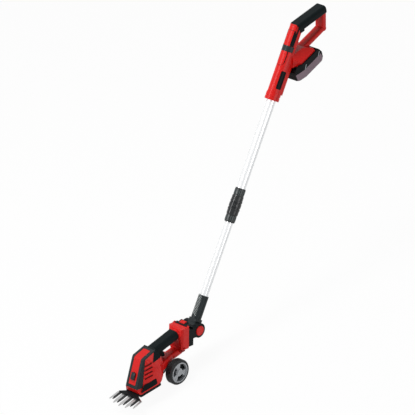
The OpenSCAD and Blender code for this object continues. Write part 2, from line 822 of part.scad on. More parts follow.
module fixed_blade() {
    edge = tine_tip_share * tine_pitch;
    color(steel) translate([0, 0, floor_z]) linear_extrude(blade_t) intersection() {
        union() {
            blade_back(blade_neck_w, blade_neck_w, blade_w);
            for (i = [0 : fixed_tines - 1])
                let (y = (i - (fixed_tines - 1) / 2) * tine_pitch) tine(y, tine_root_share, tip_at(y));
        }
        translate([0, -blade_w / 2 - edge]) square([tip_x + over, blade_w + 2 * edge]);
    }
}
module moving_blade() {
    color(black) translate([0, 0, moving_z]) linear_extrude(blade_t) {
        blade_back(moving_neck_w, 2 * yoke_half, blade_w - tine_pitch);
        for (i = [0 : fixed_tines - 2])
            let (y = (i - (fixed_tines - 2) / 2) * tine_pitch) tine(y, moving_root_share, tip_at(y) - moving_short);
    }
}
module blade_yoke() {
    color(grey) translate([0, 0, moving_top]) difference() {
        block([drive_x - yoke_l / 2, drive_x + yoke_l / 2], [-yoke_half, yoke_half], [0, yoke_h]);
        block([drive_x - yoke_room, drive_x + yoke_room], [-yoke_room - stroke, yoke_room + stroke],
            [-over, yoke_h + over]);
    }
}
module blade_cover() {
    front_w = guard_front_share * blade_w;
    color(black) translate([0, 0, moving_top + clear]) linear_extrude(nose_z - moving_top - clear)
        polygon([[guard_rear, -guard_w / 2], [head_l, -guard_w / 2], [root_x - over, -front_w], [root_x, -front_w],
            [root_x, front_w], [root_x - over, front_w], [head_l, guard_w / 2], [guard_rear, guard_w / 2]]);
}

// Shear head: drive
function involute(a) = tan(a) - a * PI / 180;
function tooth_half(r, teeth) =
    let (base = gear_module * teeth / 2 * cos(pressure_angle))
    tooth_width_share * 180 / teeth
        + (involute(pressure_angle) - involute(acos(min(base / r, 1)))) * 180 / PI;
function tooth_radii(teeth) = [for (i = [0 : flank_steps])
    gear_module * (teeth / 2 - tooth_in_share + (tooth_in_share + tooth_out_share) * i / flank_steps)];
function tooth_points(teeth, start) = [for (k = [0 : teeth - 1])
    let (mid = start + 360 * k / teeth, radii = tooth_radii(teeth))
    each concat([for (r = radii) let (a = mid - tooth_half(r, teeth)) [r * cos(a), r * sin(a)]],
        [for (i = [flank_steps : -1 : 0])
            let (r = radii[i], a = mid + tooth_half(r, teeth)) [r * cos(a), r * sin(a)]])];
module drive_gear() {
    color(brass) translate([drive_x, 0, gear_z]) difference() {
        linear_extrude(gear_w) polygon(tooth_points(gear_teeth, gear_teeth % 2 * 180 / gear_teeth));
        translate([0, 0, -over]) cylinder(d = shaft_d + 2 * fit, h = gear_w + 2 * over);
    }
}
module motor_pinion() {
    color(brass) translate([motor_x, 0, gear_z]) {
        linear_extrude(gear_w) polygon(tooth_points(pinion_teeth, 180 / pinion_teeth));
        cylinder(d = motor_shaft_d, h = motor_z - gear_z + motor_l / 2);
    }
}
module crank_shaft() {
    color(steel) translate([drive_x, 0, 0]) {
        translate([0, 0, crank_disc_z]) cylinder(d = shaft_d, h = cover_z + cover_t - clear - crank_disc_z);
        translate([0, 0, crank_disc_z]) cylinder(d = crank_disc_d, h = crank_disc_t);
        translate([crank_r, 0, moving_top + clear]) cylinder(d = crank_pin_d, h = crank_disc_z - moving_top);
    }
}
module bearings() {
    color(silver) for (b = [[plate_z, plate_t], [cover_z, cover_t]]) translate([drive_x, 0, b[0]]) difference() {
        cylinder(d = bearing_d, h = b[1]);
        translate([0, 0, -over]) cylinder(d = shaft_d + 2 * fit, h = b[1] + 2 * over);
    }
}
module gearbox_housing() {
    color(grey) difference() {
        union() {
            translate([drive_x, 0, plate_z]) cylinder(r = box_r, h = cover_z - plate_z);
            block([motor_x - pinion_tip, drive_x], [-pinion_tip, pinion_tip], [plate_z, plate_z + plate_t]);
        }
        translate([drive_x, 0, plate_z + plate_t]) cylinder(r = box_r - box_wall, h = cover_z);
        translate([motor_x, 0, plate_z + plate_t]) cylinder(r = pinion_tip + box_gap, h = cover_z);
        translate([drive_x, 0, plate_z - over]) cylinder(d = bearing_d + 2 * fit, h = cover_z);
    }
}
module gearbox_cover() {
    color(grey) difference() {
        union() {
            translate([drive_x, 0, cover_z]) cylinder(r = box_r, h = cover_t);
            translate([motor_x, 0, cover_z]) cylinder(d = motor_d, h = cover_t);
        }
        translate([drive_x, 0, cover_z - over]) cylinder(d = bearing_d + 2 * fit, h = cover_t + 2 * over);
        translate([motor_x, 0, cover_z - over]) cylinder(r = pinion_tip + box_gap, h = cover_t + 2 * over);
    }
}
module motor_can() {
    color(silver) translate([motor_x, 0, motor_z]) difference() {
        cylinder(d = motor_d, h = motor_l);
        translate([0, 0, -over]) cylinder(d = motor_shaft_d + 2 * fit, h = over + motor_l / 2 + clear);
    }
}

// Wheels
module bracket_foot(g) {
    limb([0, wheel_r], [0, beam_z - head_beam_h / 2 + bracket_in], head_beam_w / 2 + 2 * g, bracket_l + 2 * g, arm_share);
}
module wheel_bracket() {
    color(black) difference() {
        union() {
            bracket_foot(0);
            limb([0, wheel_r], [0, bracket_top], bracket_w, bracket_l, arm_share);
            translate([0, 0, wheel_r]) across(bracket_boss_d, wheel_gap - 4 * clear);
        }
        translate([0, 0, wheel_r]) across(axle_d + 2 * fit, wheel_gap + over);
    }
}
module wheel_axle() { color(steel) translate([0, 0, wheel_r]) across(axle_d, 2 * (wheel_out - axle_seat)); }
module on_wheel(s) { translate([0, s * wheel_mid, wheel_r]) rotate([-90 * s, 0, 0]) children(); }
module tyre() {
    section = [for (p = tyre_shares) [wheel_r - tyre_t + p.x * tyre_t, p.y * wheel_w / 2, p.z * tyre_t]];
    rotate_extrude() polygon(rounded(section));
}
module spoke_window() {
    reach = wheel_r - tyre_t - rim_t;
    inner = hub_barrel_d / 2 + spoke_t / 2;
    open = 360 / spokes * spoke_share / 2;
    difference() {
        linear_extrude(wheel_w, center = true) polygon([[0, 0], [2 * reach, -2 * reach * tan(open)],
            [2 * reach, 2 * reach * tan(open)]]);
        cylinder(r = inner, h = 2 * wheel_w, center = true);
        difference() {
            cylinder(r = 3 * wheel_r, h = 2 * wheel_w, center = true);
            cylinder(r = reach, h = 3 * wheel_w, center = true);
        }
    }
}
module hub() {
    rim_r = wheel_r - tyre_t - fit;
    difference() {
        union() {
            difference() {
                cylinder(r = rim_r, h = wheel_w, center = true);
                cylinder(r = rim_r - rim_t, h = wheel_w + over, center = true);
            }
            translate([0, 0, wheel_w / 2 - hub_dish - spoke_t]) difference() {
                cylinder(r = rim_r - rim_t / 2, h = spoke_t);
                for (i = [0 : spokes - 1]) rotate([0, 0, spoke_phase + 360 * i / spokes]) spoke_window();
            }
            translate([0, 0, -wheel_w / 2]) cylinder(d = hub_barrel_d, h = wheel_w - hub_edge);
        }
        translate([0, 0, -wheel_w / 2 - over])
            cylinder(d = axle_d + 2 * fit, h = over + wheel_w - axle_seat + clear);
    }
}
module web() {
    rim_r = wheel_r - tyre_t - rim_t - 2 * fit;
    translate([0, 0, wheel_w / 2 - hub_dish - spoke_t - fit - web_t]) difference() {
        cylinder(r = rim_r, h = web_t);
        translate([0, 0, -over]) cylinder(d = hub_barrel_d + 2 * fit, h = web_t + 2 * over);
    }
}
module wheel_left_tyre() { color(black) on_wheel(1) tyre(); }
module wheel_right_tyre() { color(black) on_wheel(-1) tyre(); }
module wheel_left_hub() { color(silver) on_wheel(1) hub(); }
module wheel_right_hub() { color(silver) on_wheel(-1) hub(); }
module wheel_left_web() { color(black) on_wheel(1) web(); }
module wheel_right_web() { color(black) on_wheel(-1) web(); }

// Tilt joint between the head and the pole
module on_hub() { translate([pivot_x, 0, pivot_z]) children(); }
module adapter_body() {
    color(grey) difference() {
        union() {
            on_block() {
                block([-adapter_t, -clear], [-adapter_w / 2, adapter_w / 2], [adapter_low, adapter_top]);
                block([-spine_t, -clear], [wall - cap_w / 2, cap_w / 2 - wall], [adapter_top - over, spine_top]);
                rail(0);
                limb([-hub_back, hub_up], [over - adapter_t, hub_up], hub_w, arm_h, arm_share);
                limb([over - adapter_t, bump.y], bump, bump_w, bump_h);
            }
            on_hub() across(hub_d, hub_w);
            plan(cap_plan, cap_z, cap_z + cap_t);
        }
        on_hub() {
            across(2 * knuckle_room, knuckle_w + 2 * clear);
            translate([0, hub_w / 2 - tilt_room, 0]) rotate([-90, 0, 0])
                cylinder(d = tilt_button_d + 2 * clear, h = tilt_room + over);
            translate([0, wall - hub_w / 2, 0]) rotate([-90, 0, 0])
                cylinder(d = pivot_pin_d + 2 * fit, h = hub_w - wall);
        }
        latch_block(clear, cap_z - over, cap_z + cap_t + over);
        block([-far, far], [-far, far], [cap_z + cap_t, far]);
    }
}
module latch_block(g, z0, z1) {
    block([latch_x - g, latch_x + latch_l + g], [-latch_w / 2 - g, latch_w / 2 + g], [z0, z1]);
}
module adapter_latch() { color(red) latch_block(0, latch_low, cap_z + cap_t + latch_proud); }
module pivot_pin() {
    low = wall + clear - hub_w / 2;
    color(steel) on_hub() translate([0, low, 0]) rotate([-90, 0, 0])
        cylinder(d = pivot_pin_d, h = hub_w / 2 - tilt_room - clear - low);
}
module tilt_button() {
    r = tilt_button_d / 2;
    color(red) on_hub() translate([0, hub_w / 2 + tilt_proud - tilt_button_t, 0]) rotate([-90, 0, 0]) rotate_extrude()
        polygon([[0, 0], [r, 0], [r, tilt_button_t - tilt_edge], [r - tilt_edge, tilt_button_t], [0, tilt_button_t]]);
}

// Pole
module tube(d, bore, s0, s1) {
    on_pole(s0) difference() {
        cylinder(d = d, h = s1 - s0);
        translate([0, 0, -over]) cylinder(d = bore, h = s1 - s0 + 2 * over);
    }
}
module pole_socket() {
    color(grey) on_pole() difference() {
        union() {
            across(hub_d - 2 * clear, knuckle_w);
            limb([0, 0], [0, socket_low + over], knuckle_w, socket_d, arm_share);
            translate([0, 0, socket_low]) cylinder(d = socket_d, h = socket_top - socket_low);
        }
        across(pivot_pin_d + 2 * fit, 2 * knuckle_w);
        translate([0, 0, tube_seat]) cylinder(d = inner_d + 2 * fit, h = socket_top);
        for (i = [0 : flutes - 1]) rotate([0, 0, 360 * i / flutes])
            translate([socket_d / 2 + flute_d / 4, 0, socket_low + flute_d])
                cylinder(d = flute_d, h = socket_top - socket_low - 2 * flute_d);
    }
}
module lower_tube() { color(silver) tube(inner_d, inner_d - 2 * tube_t, tube_seat, lower_top); }
module tube_plug() {
    color(black) on_pole(lower_top - plug_l) {
        cylinder(d = inner_d - 2 * tube_t - 2 * fit, h = plug_l + over);
        translate([0, 0, plug_l + fit]) cylinder(d = inner_d - tube_t, h = plug_flange);
    }
}
module upper_tube() { color(silver) tube(tube_d, tube_d - 2 * tube_t, tube_low, handle_s + tube_in); }
module clamp_half() {
    l = clamp_l / 2 - clear / 2;
    difference() {
        rotate_extrude() polygon(concat([[0, 0]], [for (s = clamp_shares) [s.x * clamp_d / 2, s.y * l]], [[0, l]]));
        for (i = [0 : flutes - 1]) rotate([0, 0, 360 * i / flutes])
            translate([clamp_flute_at, 0, clamp_flute_share * l]) cylinder(d = flute_d, h = clamp_flute_l_share * l);
    }
}
module clamp_body() {
    color(black) difference() {
        on_pole(clamp_mid + clear / 2) clamp_half();
        on_pole(clamp_mid) cylinder(d = tube_d + 2 * fit, h = clamp_l);
    }
}
module clamp_nut() {
    color(black) difference() {
        on_pole(clamp_mid - clear / 2) rotate([180, 0, 0]) clamp_half();
        on_pole(clamp_low - over) cylinder(d = inner_d + 2 * clear, h = clamp_l);
        on_pole(collet_low - clear) cylinder(d = collet_d + 2 * clear, h = clamp_l);
    }
}
module clamp_collet() {
    color(grey) difference() {
        tube(collet_d, inner_d + 2 * tube_gap, collet_low, tube_low);
        for (i = [0 : collet_slits - 1]) on_pole(collet_low - over) rotate([0, 0, 360 * i / collet_slits])
            block([0, collet_d], [-clear, clear], [0, over + (tube_low - collet_low) / 2]);
    }
}

// Top handle
module handle_sleeve() {
    inner_r = collar_r - groove_d;
    on_handle() {
        rotate_extrude() polygon([[0, 0], [collar_r - collar_edge, 0], [collar_r, collar_edge], [collar_r, groove_at],
            [inner_r, groove_at], [inner_r, groove_at + groove_l], [collar_r, groove_at + groove_l],
            [collar_r, collar_l - collar_edge], [collar_r - collar_edge, collar_l], [0, collar_l]]);
        cylinder(r = sleeve_r, h = loop_foot);
        limb([back_mid, collar_l - collar_edge], [back_mid, loop_foot], back_w, back_front - back_t);
    }
}
// Upper end of the sleeve, which turns over into the grip
module bend_shape(g = 0) {
    share = corner_share * (grip_h + 2 * g) / (grip_w + 2 * g);
    intersection() {
        on_handle() translate([0, 0, loop_foot - over]) cylinder(r = sleeve_r + g, h = bend_top - loop_foot);
        on_handle() block([wall_back - max(g, 0), far], [-far, far], [0, far]);
        on_grip() limb([-grip_l, bend_mid], [2 * grip_l, bend_mid], grip_w + 2 * g, bend_depth + 2 * g, share);
    }
}
// Zone of the bend that the soft grip covers: its top and sides, and a strip on each side of the ridge
module soft_zone(g = 0) {
    on_grip() block([-far, soft_front + g], [-far, far], [-grip_h / 2 - g, far]);
    for (s = [-1, 1]) on_handle() scale([1, s, 1])
        block([soft_side - g, far], [ridge_w / 2 + soft_gap - g, far], [lock_low + lock_l + soft_gap - g, bend_top]);
}
module handle_bend() {
    bend_shape(-skin_t);
    difference() {
        bend_shape();
        soft_zone();
    }
}
module grip_core(x0, x1, t) {
    on_grip() limb([x0, 0], [x1, 0], grip_w - 2 * skin_t - 2 * t, grip_h - 2 * skin_t - 2 * t);
}
module handle_post(g = 0) {
    on_grip() {
        limb(post_top, post_foot, post_w + 2 * g, beam_t + 2 * g);
        for (p = [post_top, post_foot]) translate([p.x, 0, p.y]) across(post_round + 2 * g, beam_w + 2 * g);
    }
}
module handle_foot() {
    on_deck() intersection() {
        side(placed(foot_shares, [foot_rear, deck_gap], [foot_l, foot_h]), foot_w + over);
        plan(placed(foot_plan_shares, [foot_rear, 0], [foot_l, foot_w]), 0, foot_h + over);
        along([[-foot_w / 2, 0, 0], [foot_w / 2, 0, 0], [foot_w / 2, foot_edge, wall],
            [foot_top_w / 2, foot_h + over, 0], [-foot_top_w / 2, foot_h + over, 0], [-foot_w / 2, foot_edge, wall]],
            foot_rear - over, foot_rear + foot_l + over);
    }
}
module deck_rails(g, to) {
    for (y = [-deck_rail_y, deck_rail_y]) {
        block([deck_rail_from - g, to], [y - deck_rail_w / 2 - g, y + deck_rail_w / 2 + g],
            [-deck_rail_h - g, deck_gap + over]);
        block([deck_rail_from - g, to], [y - deck_flange_w / 2 - g, y + deck_flange_w / 2 + g],
            [-deck_rail_h - g, deck_flange_h - deck_rail_h + g]);
    }
}
module trigger_room_handle() {
    on_grip() block([handle_trigger_pin.x - handle_trigger_back, handle_trigger_pin.x + handle_trigger_fwd],
        [-trigger_w / 2 - clear, trigger_w / 2 + clear], [handle_trigger_pin.y - handle_trigger_drop, -grip_h / 4]);
}
module handle_hollow() {
    on_handle() {
        translate([0, 0, -over]) cylinder(d = tube_d + 2 * fit, h = tube_in + fit + over);
        translate([0, 0, handle_cavity_low]) cylinder(r = handle_cavity_r, h = loop_foot - wall - handle_cavity_low);
        limb([loop_cavity_mid, loop_foot - 2 * wall], [loop_cavity_mid, handle_cavity_top], loop_cavity_w, loop_cavity_t);
    }
    grip_core(beam_t - grip_l / 2, grip_l / 2, wall);
}
module handle_boss() {
    intersection() {
        bend_shape(-skin_t);
        on_grip() translate([handle_trigger_pin.x, 0, handle_trigger_pin.y]) across(boss_d, sleeve_d);
    }
}
module handle_body() {
    difference() {
        union() {
            difference() {
                union() {
                    handle_sleeve();
                    handle_bend();
                    handle_post();
                    grip_core(post_top.x, grip_l / 2, 0);
                    on_deck() limb([beam_rear_u, beam_v], [beam_front_u, beam_v], beam_w, beam_t);
                    handle_foot();
                    on_deck() deck_rails(0, deck_rail_to);
                }
                handle_hollow();
            }
            handle_boss();
        }
        on_handle() {
            ridge_room(fit);
            block([lock_front - lock_travel - clear, far], [-far, far], [lock_low - clear, lock_low + lock_l + clear]);
            handle_plaque_room(fit);
            screw_holes(handle_screws_at, -1);
        }
        trigger_room_handle();
        on_deck() {
            screw_holes(deck_screws_at, -1);
            contact_seat(fit);
        }
        on_grip() translate([handle_trigger_pin.x, 0, handle_trigger_pin.y])
            across(trigger_pin_d + 2 * fit, handle_pin_l + 2 * clear);
    }
}
module ridge_room(g) {
    low = ridge_low + ridge_w / 2;
    difference() {
        intersection() {
            union() {
                block([0, far], [-ridge_w / 2 - g, ridge_w / 2 + g], [low, ridge_top + g]);
                translate([0, 0, low]) rotate([0, 90, 0]) cylinder(d = ridge_w + 2 * g, h = far);
            }
            cylinder(r = sleeve_r + over, h = bend_top);
        }
        cylinder(r = sleeve_r - ridge_t - g, h = far);
    }
}
module handle_shell_left() { color(red) intersection() { handle_body(); half(1); } }
module handle_shell_right() { color(red) intersection() { handle_body(); half(-1); } }
module handle_ridge_panel() {
    color(red) on_handle() difference() {
        intersection() {
            ridge_room(0);
            cylinder(r = sleeve_r + ridge_proud, h = far);
        }
        block([0, far], [-far, far], [lock_low - clear, lock_low + lock_l + clear]);
    }
}
module handle_lock_button() {
    color(grey) on_handle() translate([0, 0, lock_low]) intersection() {
        difference() {
            cylinder(r = sleeve_r + lock_proud, h = lock_l);
            translate([0, 0, -over]) cylinder(r = sleeve_r - lock_t, h = lock_l + 2 * over);
        }
        block([lock_front, far], [-far, far], [-over, far]);
    }
}
module handle_soft_grip() {
    color(black) difference() {
        union() {
            on_grip() limb([-grip_back, 0], [grip_fwd, 0], grip_w, grip_h);
            intersection() {
                bend_shape();
                soft_zone(-fit);
            }
        }
        grip_core(-grip_l, grip_l, -fit);
        bend_shape(fit - skin_t);
        handle_post(fit);
        trigger_room_handle();
        on_handle() ridge_room(clear);
    }
}
module handle_trigger() {
    color(black) on_grip() translate([handle_trigger_pin.x, 0, handle_trigger_pin.y]) {
        side(placed(handle_trigger_shares, [0, 0], [handle_trigger_l, handle_trigger_h]), trigger_w);
        across(trigger_pin_d, handle_pin_l);
    }
}
module handle_plaque_room(g) {
    rotate([0, 0, handle_plaque_turn]) translate([sleeve_r - plaque_t, 0, handle_plaque_low + handle_plaque_l / 2])
        rotate([0, 90, 0]) linear_extrude(2 * plaque_t)
            polygon(rounded(oblong(handle_plaque_l + 2 * g, handle_plaque_w + 2 * g, handle_plaque_w / 4)));
}
module handle_plaque() {
    color(black) on_handle() intersection() {
        handle_plaque_room(0);
        cylinder(r = sleeve_r + plaque_proud, h = far);
    }
}
module handle_switch() {
    low = skin_t + wall - grip_h / 2;
    color(grey) on_grip() block([handle_switch_from, handle_switch_from + switch_l], [-switch_w / 2, switch_w / 2],
        [low, low + switch_h]);
}
module contact_seat(g) {
    block([contact_from - g, contact_from + contact_l + g], [-contact_w / 2 - g, contact_w / 2 + g],
        [2 * clear - contact_room_d, deck_gap + wall + g]);
}
module handle_terminal_block() { color(black) on_deck() contact_seat(0); }
module handle_screws() {
    color(steel) {
        on_handle() screws(handle_screws_at, -1);
        on_deck() screws(deck_screws_at, -1);
    }
}

// Battery
module battery_solid(i, v0, v1) {
    intersection() {
        side(inset(battery_side, i), battery_w + over);
        plan(inset(battery_plan, i), v0, v1);
    }
}
module battery_inside() { battery_solid(wall, -battery_h, -contact_room_d - wall); }
module release_block(g, deep) {
    block([release_u - deep, release_u + release_d + g + deep], [-release_w / 2 - g, release_w / 2 + g],
        [release_at - release_h / 2 - g, release_at + release_h / 2 + g]);
}
module battery_case() {
    color(black) on_deck() difference() {
        battery_solid(0, battery_split, over);
        battery_inside();
        deck_rails(clear, far);
        block([contact_from - clear, far], [-contact_room_w / 2, contact_room_w / 2], [-contact_room_d, over]);
        release_block(clear, release_travel);
    }
}
module battery_base() {
    color(grey) on_deck() difference() {
        battery_solid(0, -battery_h - over, battery_split - fit);
        battery_inside();
    }
}
module battery_cells() {
    color(silver) on_deck() for (i = [0 : cells - 1])
        translate([cell_from + i * cell_pitch, 0, wall + fit + cell_d / 2 - battery_h]) across(cell_d, cell_l);
}
module battery_board() {
    low = wall + 2 * fit + cell_d - battery_h;
    color("darkgreen") on_deck() block([board_from, board_from + board_l], [-board_w / 2, board_w / 2], [low, low + board_t]);
}
module battery_accents() {
    color(silver) on_deck() for (s = [-1, 1], u = accents_at)
        translate([u, s * (battery_w + accent_t) / 2, accent_v]) rotate([0, accent_lean, 0])
            block([-accent_l / 2, accent_l / 2], [-accent_t / 2, accent_t / 2], [-accent_h / 2, accent_h / 2]);
}
module battery_release() { color(red) on_deck() release_block(0, 0); }

part_frame() handle_shell_left();
part_frame() handle_shell_right();
part_frame() handle_soft_grip();
part_frame() handle_ridge_panel();
part_frame() handle_plaque();
part_frame() handle_switch();
part_frame() handle_terminal_block();
part_frame() handle_screws();
part_frame() upper_tube();
part_frame() clamp_body();
part_frame() clamp_collet();
part_frame() handle_trigger();
part_frame() handle_lock_button();
part_frame() battery_case();
part_frame() battery_base();
part_frame() battery_cells();
part_frame() battery_board();
part_frame() battery_accents();
part_frame() battery_release();
part_frame() clamp_nut();
part_frame() lower_tube();
part_frame() tube_plug();
part_frame() pole_socket();
part_frame() adapter_body();
part_frame() pivot_pin();
part_frame() tilt_button();
part_frame() adapter_latch();
part_frame() head_shell_left();
part_frame() head_shell_right();
part_frame() nose_frame();
part_frame() nose_strip();
part_frame() head_soft_grip();
part_frame() head_plaque();
part_frame() head_switch();
part_frame() head_screws();
part_frame() base_tray();
part_frame() fixed_blade();
part_frame() blade_cover();
part_frame() gearbox_housing();
part_frame() gearbox_cover();
part_frame() bearings();
part_frame() motor_can();
part_frame() wheel_bracket();
part_frame() wheel_axle();
part_frame() motor_pinion();
part_frame() drive_gear();
part_frame() crank_shaft();
part_frame() moving_blade();
part_frame() blade_yoke();
part_frame() head_trigger();
part_frame() blade_release_button();
part_frame() wheel_left_tyre();
part_frame() wheel_left_hub();
part_frame() wheel_left_web();
part_frame() wheel_right_tyre();
part_frame() wheel_right_hub();
part_frame() wheel_right_web();
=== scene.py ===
"""Looks of the cordless grass shears on a telescopic pole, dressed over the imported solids.

All lengths are metres.
"""
import json
import math
from contextlib import contextmanager

import bpy
from mathutils import Matrix, Vector


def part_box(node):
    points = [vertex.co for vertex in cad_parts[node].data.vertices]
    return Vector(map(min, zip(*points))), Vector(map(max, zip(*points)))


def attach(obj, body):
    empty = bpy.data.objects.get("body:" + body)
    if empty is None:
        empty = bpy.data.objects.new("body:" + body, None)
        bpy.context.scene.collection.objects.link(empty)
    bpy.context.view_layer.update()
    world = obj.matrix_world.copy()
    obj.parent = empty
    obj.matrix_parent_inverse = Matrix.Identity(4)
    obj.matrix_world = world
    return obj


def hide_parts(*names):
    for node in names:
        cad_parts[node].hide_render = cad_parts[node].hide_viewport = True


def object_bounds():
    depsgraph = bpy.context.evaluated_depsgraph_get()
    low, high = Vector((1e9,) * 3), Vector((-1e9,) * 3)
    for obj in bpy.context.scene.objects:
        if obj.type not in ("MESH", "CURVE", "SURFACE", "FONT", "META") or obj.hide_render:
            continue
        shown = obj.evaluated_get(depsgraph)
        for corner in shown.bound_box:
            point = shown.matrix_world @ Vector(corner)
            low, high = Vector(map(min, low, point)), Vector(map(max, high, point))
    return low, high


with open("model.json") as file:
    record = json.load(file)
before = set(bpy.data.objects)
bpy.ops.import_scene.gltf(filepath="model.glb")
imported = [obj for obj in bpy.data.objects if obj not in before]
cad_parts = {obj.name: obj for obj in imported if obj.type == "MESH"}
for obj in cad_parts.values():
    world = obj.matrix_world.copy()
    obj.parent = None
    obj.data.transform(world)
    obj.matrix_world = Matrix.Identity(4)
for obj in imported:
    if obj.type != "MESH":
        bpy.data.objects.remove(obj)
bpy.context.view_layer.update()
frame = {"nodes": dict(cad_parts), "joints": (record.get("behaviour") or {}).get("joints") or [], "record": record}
nodes = frame["nodes"]
body_of_node = {
    node: body
    for body, members in frame["record"]["behaviour"]["bodies"].items()
    for node in members
}
joint = {entry["name"]: entry for entry in frame["joints"]}

MM = 0.001
MERGE = 0.001 * MM
FLAT_ANGLE = math.radians(0.3)
EDGE_ANGLE = math.radians(30)
SKIN_ANGLE = math.radians(32)
SMOOTH_ANGLE = math.radians(40)
EDGE_SEGMENTS = 2
ROUND_SEGMENTS = 4

# Directions that the pole and the battery deck are laid out along
FORWARD = Vector((1, 0, 0))
ACROSS = Vector((0, 1, 0))
UP = Vector((0, 0, 1))
POLE_DOWN = Vector(joint["pole_slide"]["axis"]).normalized()
POLE_UP = -POLE_DOWN
POLE_FRONT = ACROSS.cross(POLE_UP).normalized()
DECK_REAR = Vector(joint["battery_slide"]["axis"]).normalized()
TILT_PIVOT = Vector(joint["head_tilt"]["pos_m"])

# Camera, as the photograph was taken
IMAGE_PX = 415
FOCAL_PX = 3500
SENSOR_MM = 36
CLIP_END = 50
CAMERA_AT = Vector((5.3788, 5.9138, 4.8053))
CAMERA_RIGHT = Vector((-0.6726, 0.7166, -0.1849))
CAMERA_UP = Vector((-0.5161, -0.2751, 0.8112))

# Finishes, as linear colours
WHITE = (1, 1, 1, 1)
RED = (0.66, 0.008, 0.006, 1)
# Dark red behind the nose's slots: painted shade for the depth of the slots
SLOT_SHADE_RED = (0.13, 0.004, 0.004, 1)
BLACK = (0.006, 0.008, 0.009, 1)
DARK_GREY = (0.016, 0.022, 0.024, 1)
SOFT_BLACK = (0.005, 0.009, 0.010, 1)
# Light grey of the socket ribs: a painted highlight of the socket's lit front
PAINTED_HIGHLIGHT_RIB_GREY = (0.44, 0.47, 0.46, 1)
# Grey of the clamp's end ribs: a painted sheen, standing in for reflection on black
CLAMP_SHEEN_GREY = (0.07, 0.09, 0.09, 1)
TUBE_WHITE = (0.86, 0.87, 0.88, 1)
BLADE_STEEL = (0.50, 0.50, 0.50, 1)
BLADE_BLACK = (0.020, 0.021, 0.022, 1)
HUB_SILVER = (0.36, 0.38, 0.40, 1)
TYRE_BLACK = (0.014, 0.015, 0.016, 1)
BASE_MAUVE = (0.27, 0.19, 0.23, 1)
GEAR_BRASS = (0.50, 0.34, 0.10, 1)
CELL_GREY = (0.25, 0.28, 0.30, 1)
BOARD_GREEN = (0.010, 0.07, 0.02, 1)

# Patterns that lie over a finish, and its usual gloss
NOISE_DETAIL = 3.0
DRIFT_SCALE = 22.0
DRIFT_SHARE = 0.9
SCUFF_SCALE = 160.0
SCUFF_DETAIL = 6.0
GRAIN_DETAIL = 2.0
GRAIN_STRENGTH = 0.25
LINE_STRETCH = (1.0, 60.0, 60.0)
LINE_SCALE = 30.0
LINE_DETAIL = 4.0
LINE_DRIFT_SCALE = 9.0
LINE_STRENGTH = 0.15
GLOSS_SPREAD = 0.10
PLAIN_SPECULAR = 0.5


# Shader groups that several finishes share
def group(name, inputs, outputs):
    """An empty shader group, with the nodes that take its inputs and give its outputs."""
    tree = bpy.data.node_groups.new(name, "ShaderNodeTree")
    for in_out, sockets in (("INPUT", inputs), ("OUTPUT", outputs)):
        for label, kind in sockets:
            tree.interface.new_socket(name=label, in_out=in_out, socket_type="NodeSocket" + kind)
    return tree, tree.nodes.new("NodeGroupInput"), tree.nodes.new("NodeGroupOutput")


def noise(tree, vector, scale, detail=NOISE_DETAIL):
    """A noise from 0 to 1, its scale a number or a socket."""
    node = tree.nodes.new("ShaderNodeTexNoise")
    node.inputs["Detail"].default_value = detail
    if isinstance(scale, (int, float)):
        node.inputs["Scale"].default_value = scale
    else:
        tree.links.new(scale, node.inputs["Scale"])
    tree.links.new(vector, node.inputs["Vector"])
    return node.outputs["Fac"]


def ranged(tree, value, high):
    """A value from 0 to 1 laid over the range from 0 to another end."""
    node = tree.nodes.new("ShaderNodeMapRange")
    tree.links.new(value, node.inputs["Value"])
    node.inputs["To Max"].default_value = high
    return node.outputs["Result"]


def tinted(tree, amount, first, second):
    """A mix of two colours."""
    node = tree.nodes.new("ShaderNodeMix")
    node.data_type = "RGBA"
    tree.links.new(amount, node.inputs["Factor"])
    for label, colour in (("A", first), ("B", second)):
        socket = [s for s in node.inputs if s.name == label and s.type == "RGBA"][0]
        tree.links.new(colour, socket)
    return [s for s in node.outputs if s.type == "RGBA"][0]


def uneven(tree, pattern, roughness):
    """A roughness with a share of a pattern added."""
    node = tree.nodes.new("ShaderNodeMath")
    node.operation = "MULTIPLY_ADD"
    tree.links.new(pattern, node.inputs[0])
    node.inputs[1].default_value = GLOSS_SPREAD
    tree.links.new(roughness, node.inputs[2])
    return node.outputs[0]


def moulded_tone():
    """Slow drift of tone and gloss over a moulding, with the fine spark-eroded grain of its tool."""
    tree, start, end = group(
        "moulded_tone",
        [
            ("Vector", "Vector"),
            ("Colour", "Color"),
            ("Shade", "Color"),
            ("Roughness", "Float"),
            ("Grain Scale", "Float"),
        ],
        [("Colour", "Color"), ("Roughness", "Float"), ("Grain", "Float")],
    )
    vector = start.outputs["Vector"]
    drift = ranged(tree, noise(tree, vector, DRIFT_SCALE), DRIFT_SHARE)
    scuff = noise(tree, vector, SCUFF_SCALE, SCUFF_DETAIL)
    grain = noise(tree, vector, start.outputs["Grain Scale"], GRAIN_DETAIL)
    colour = tinted(tree, drift, start.outputs["Colour"], start.outputs["Shade"])
    tree.links.new(colour, end.inputs["Colour"])
    tree.links.new(uneven(tree, scuff, start.outputs["Roughness"]), end.inputs["Roughness"])
    tree.links.new(grain, end.inputs["Grain"])
    return tree


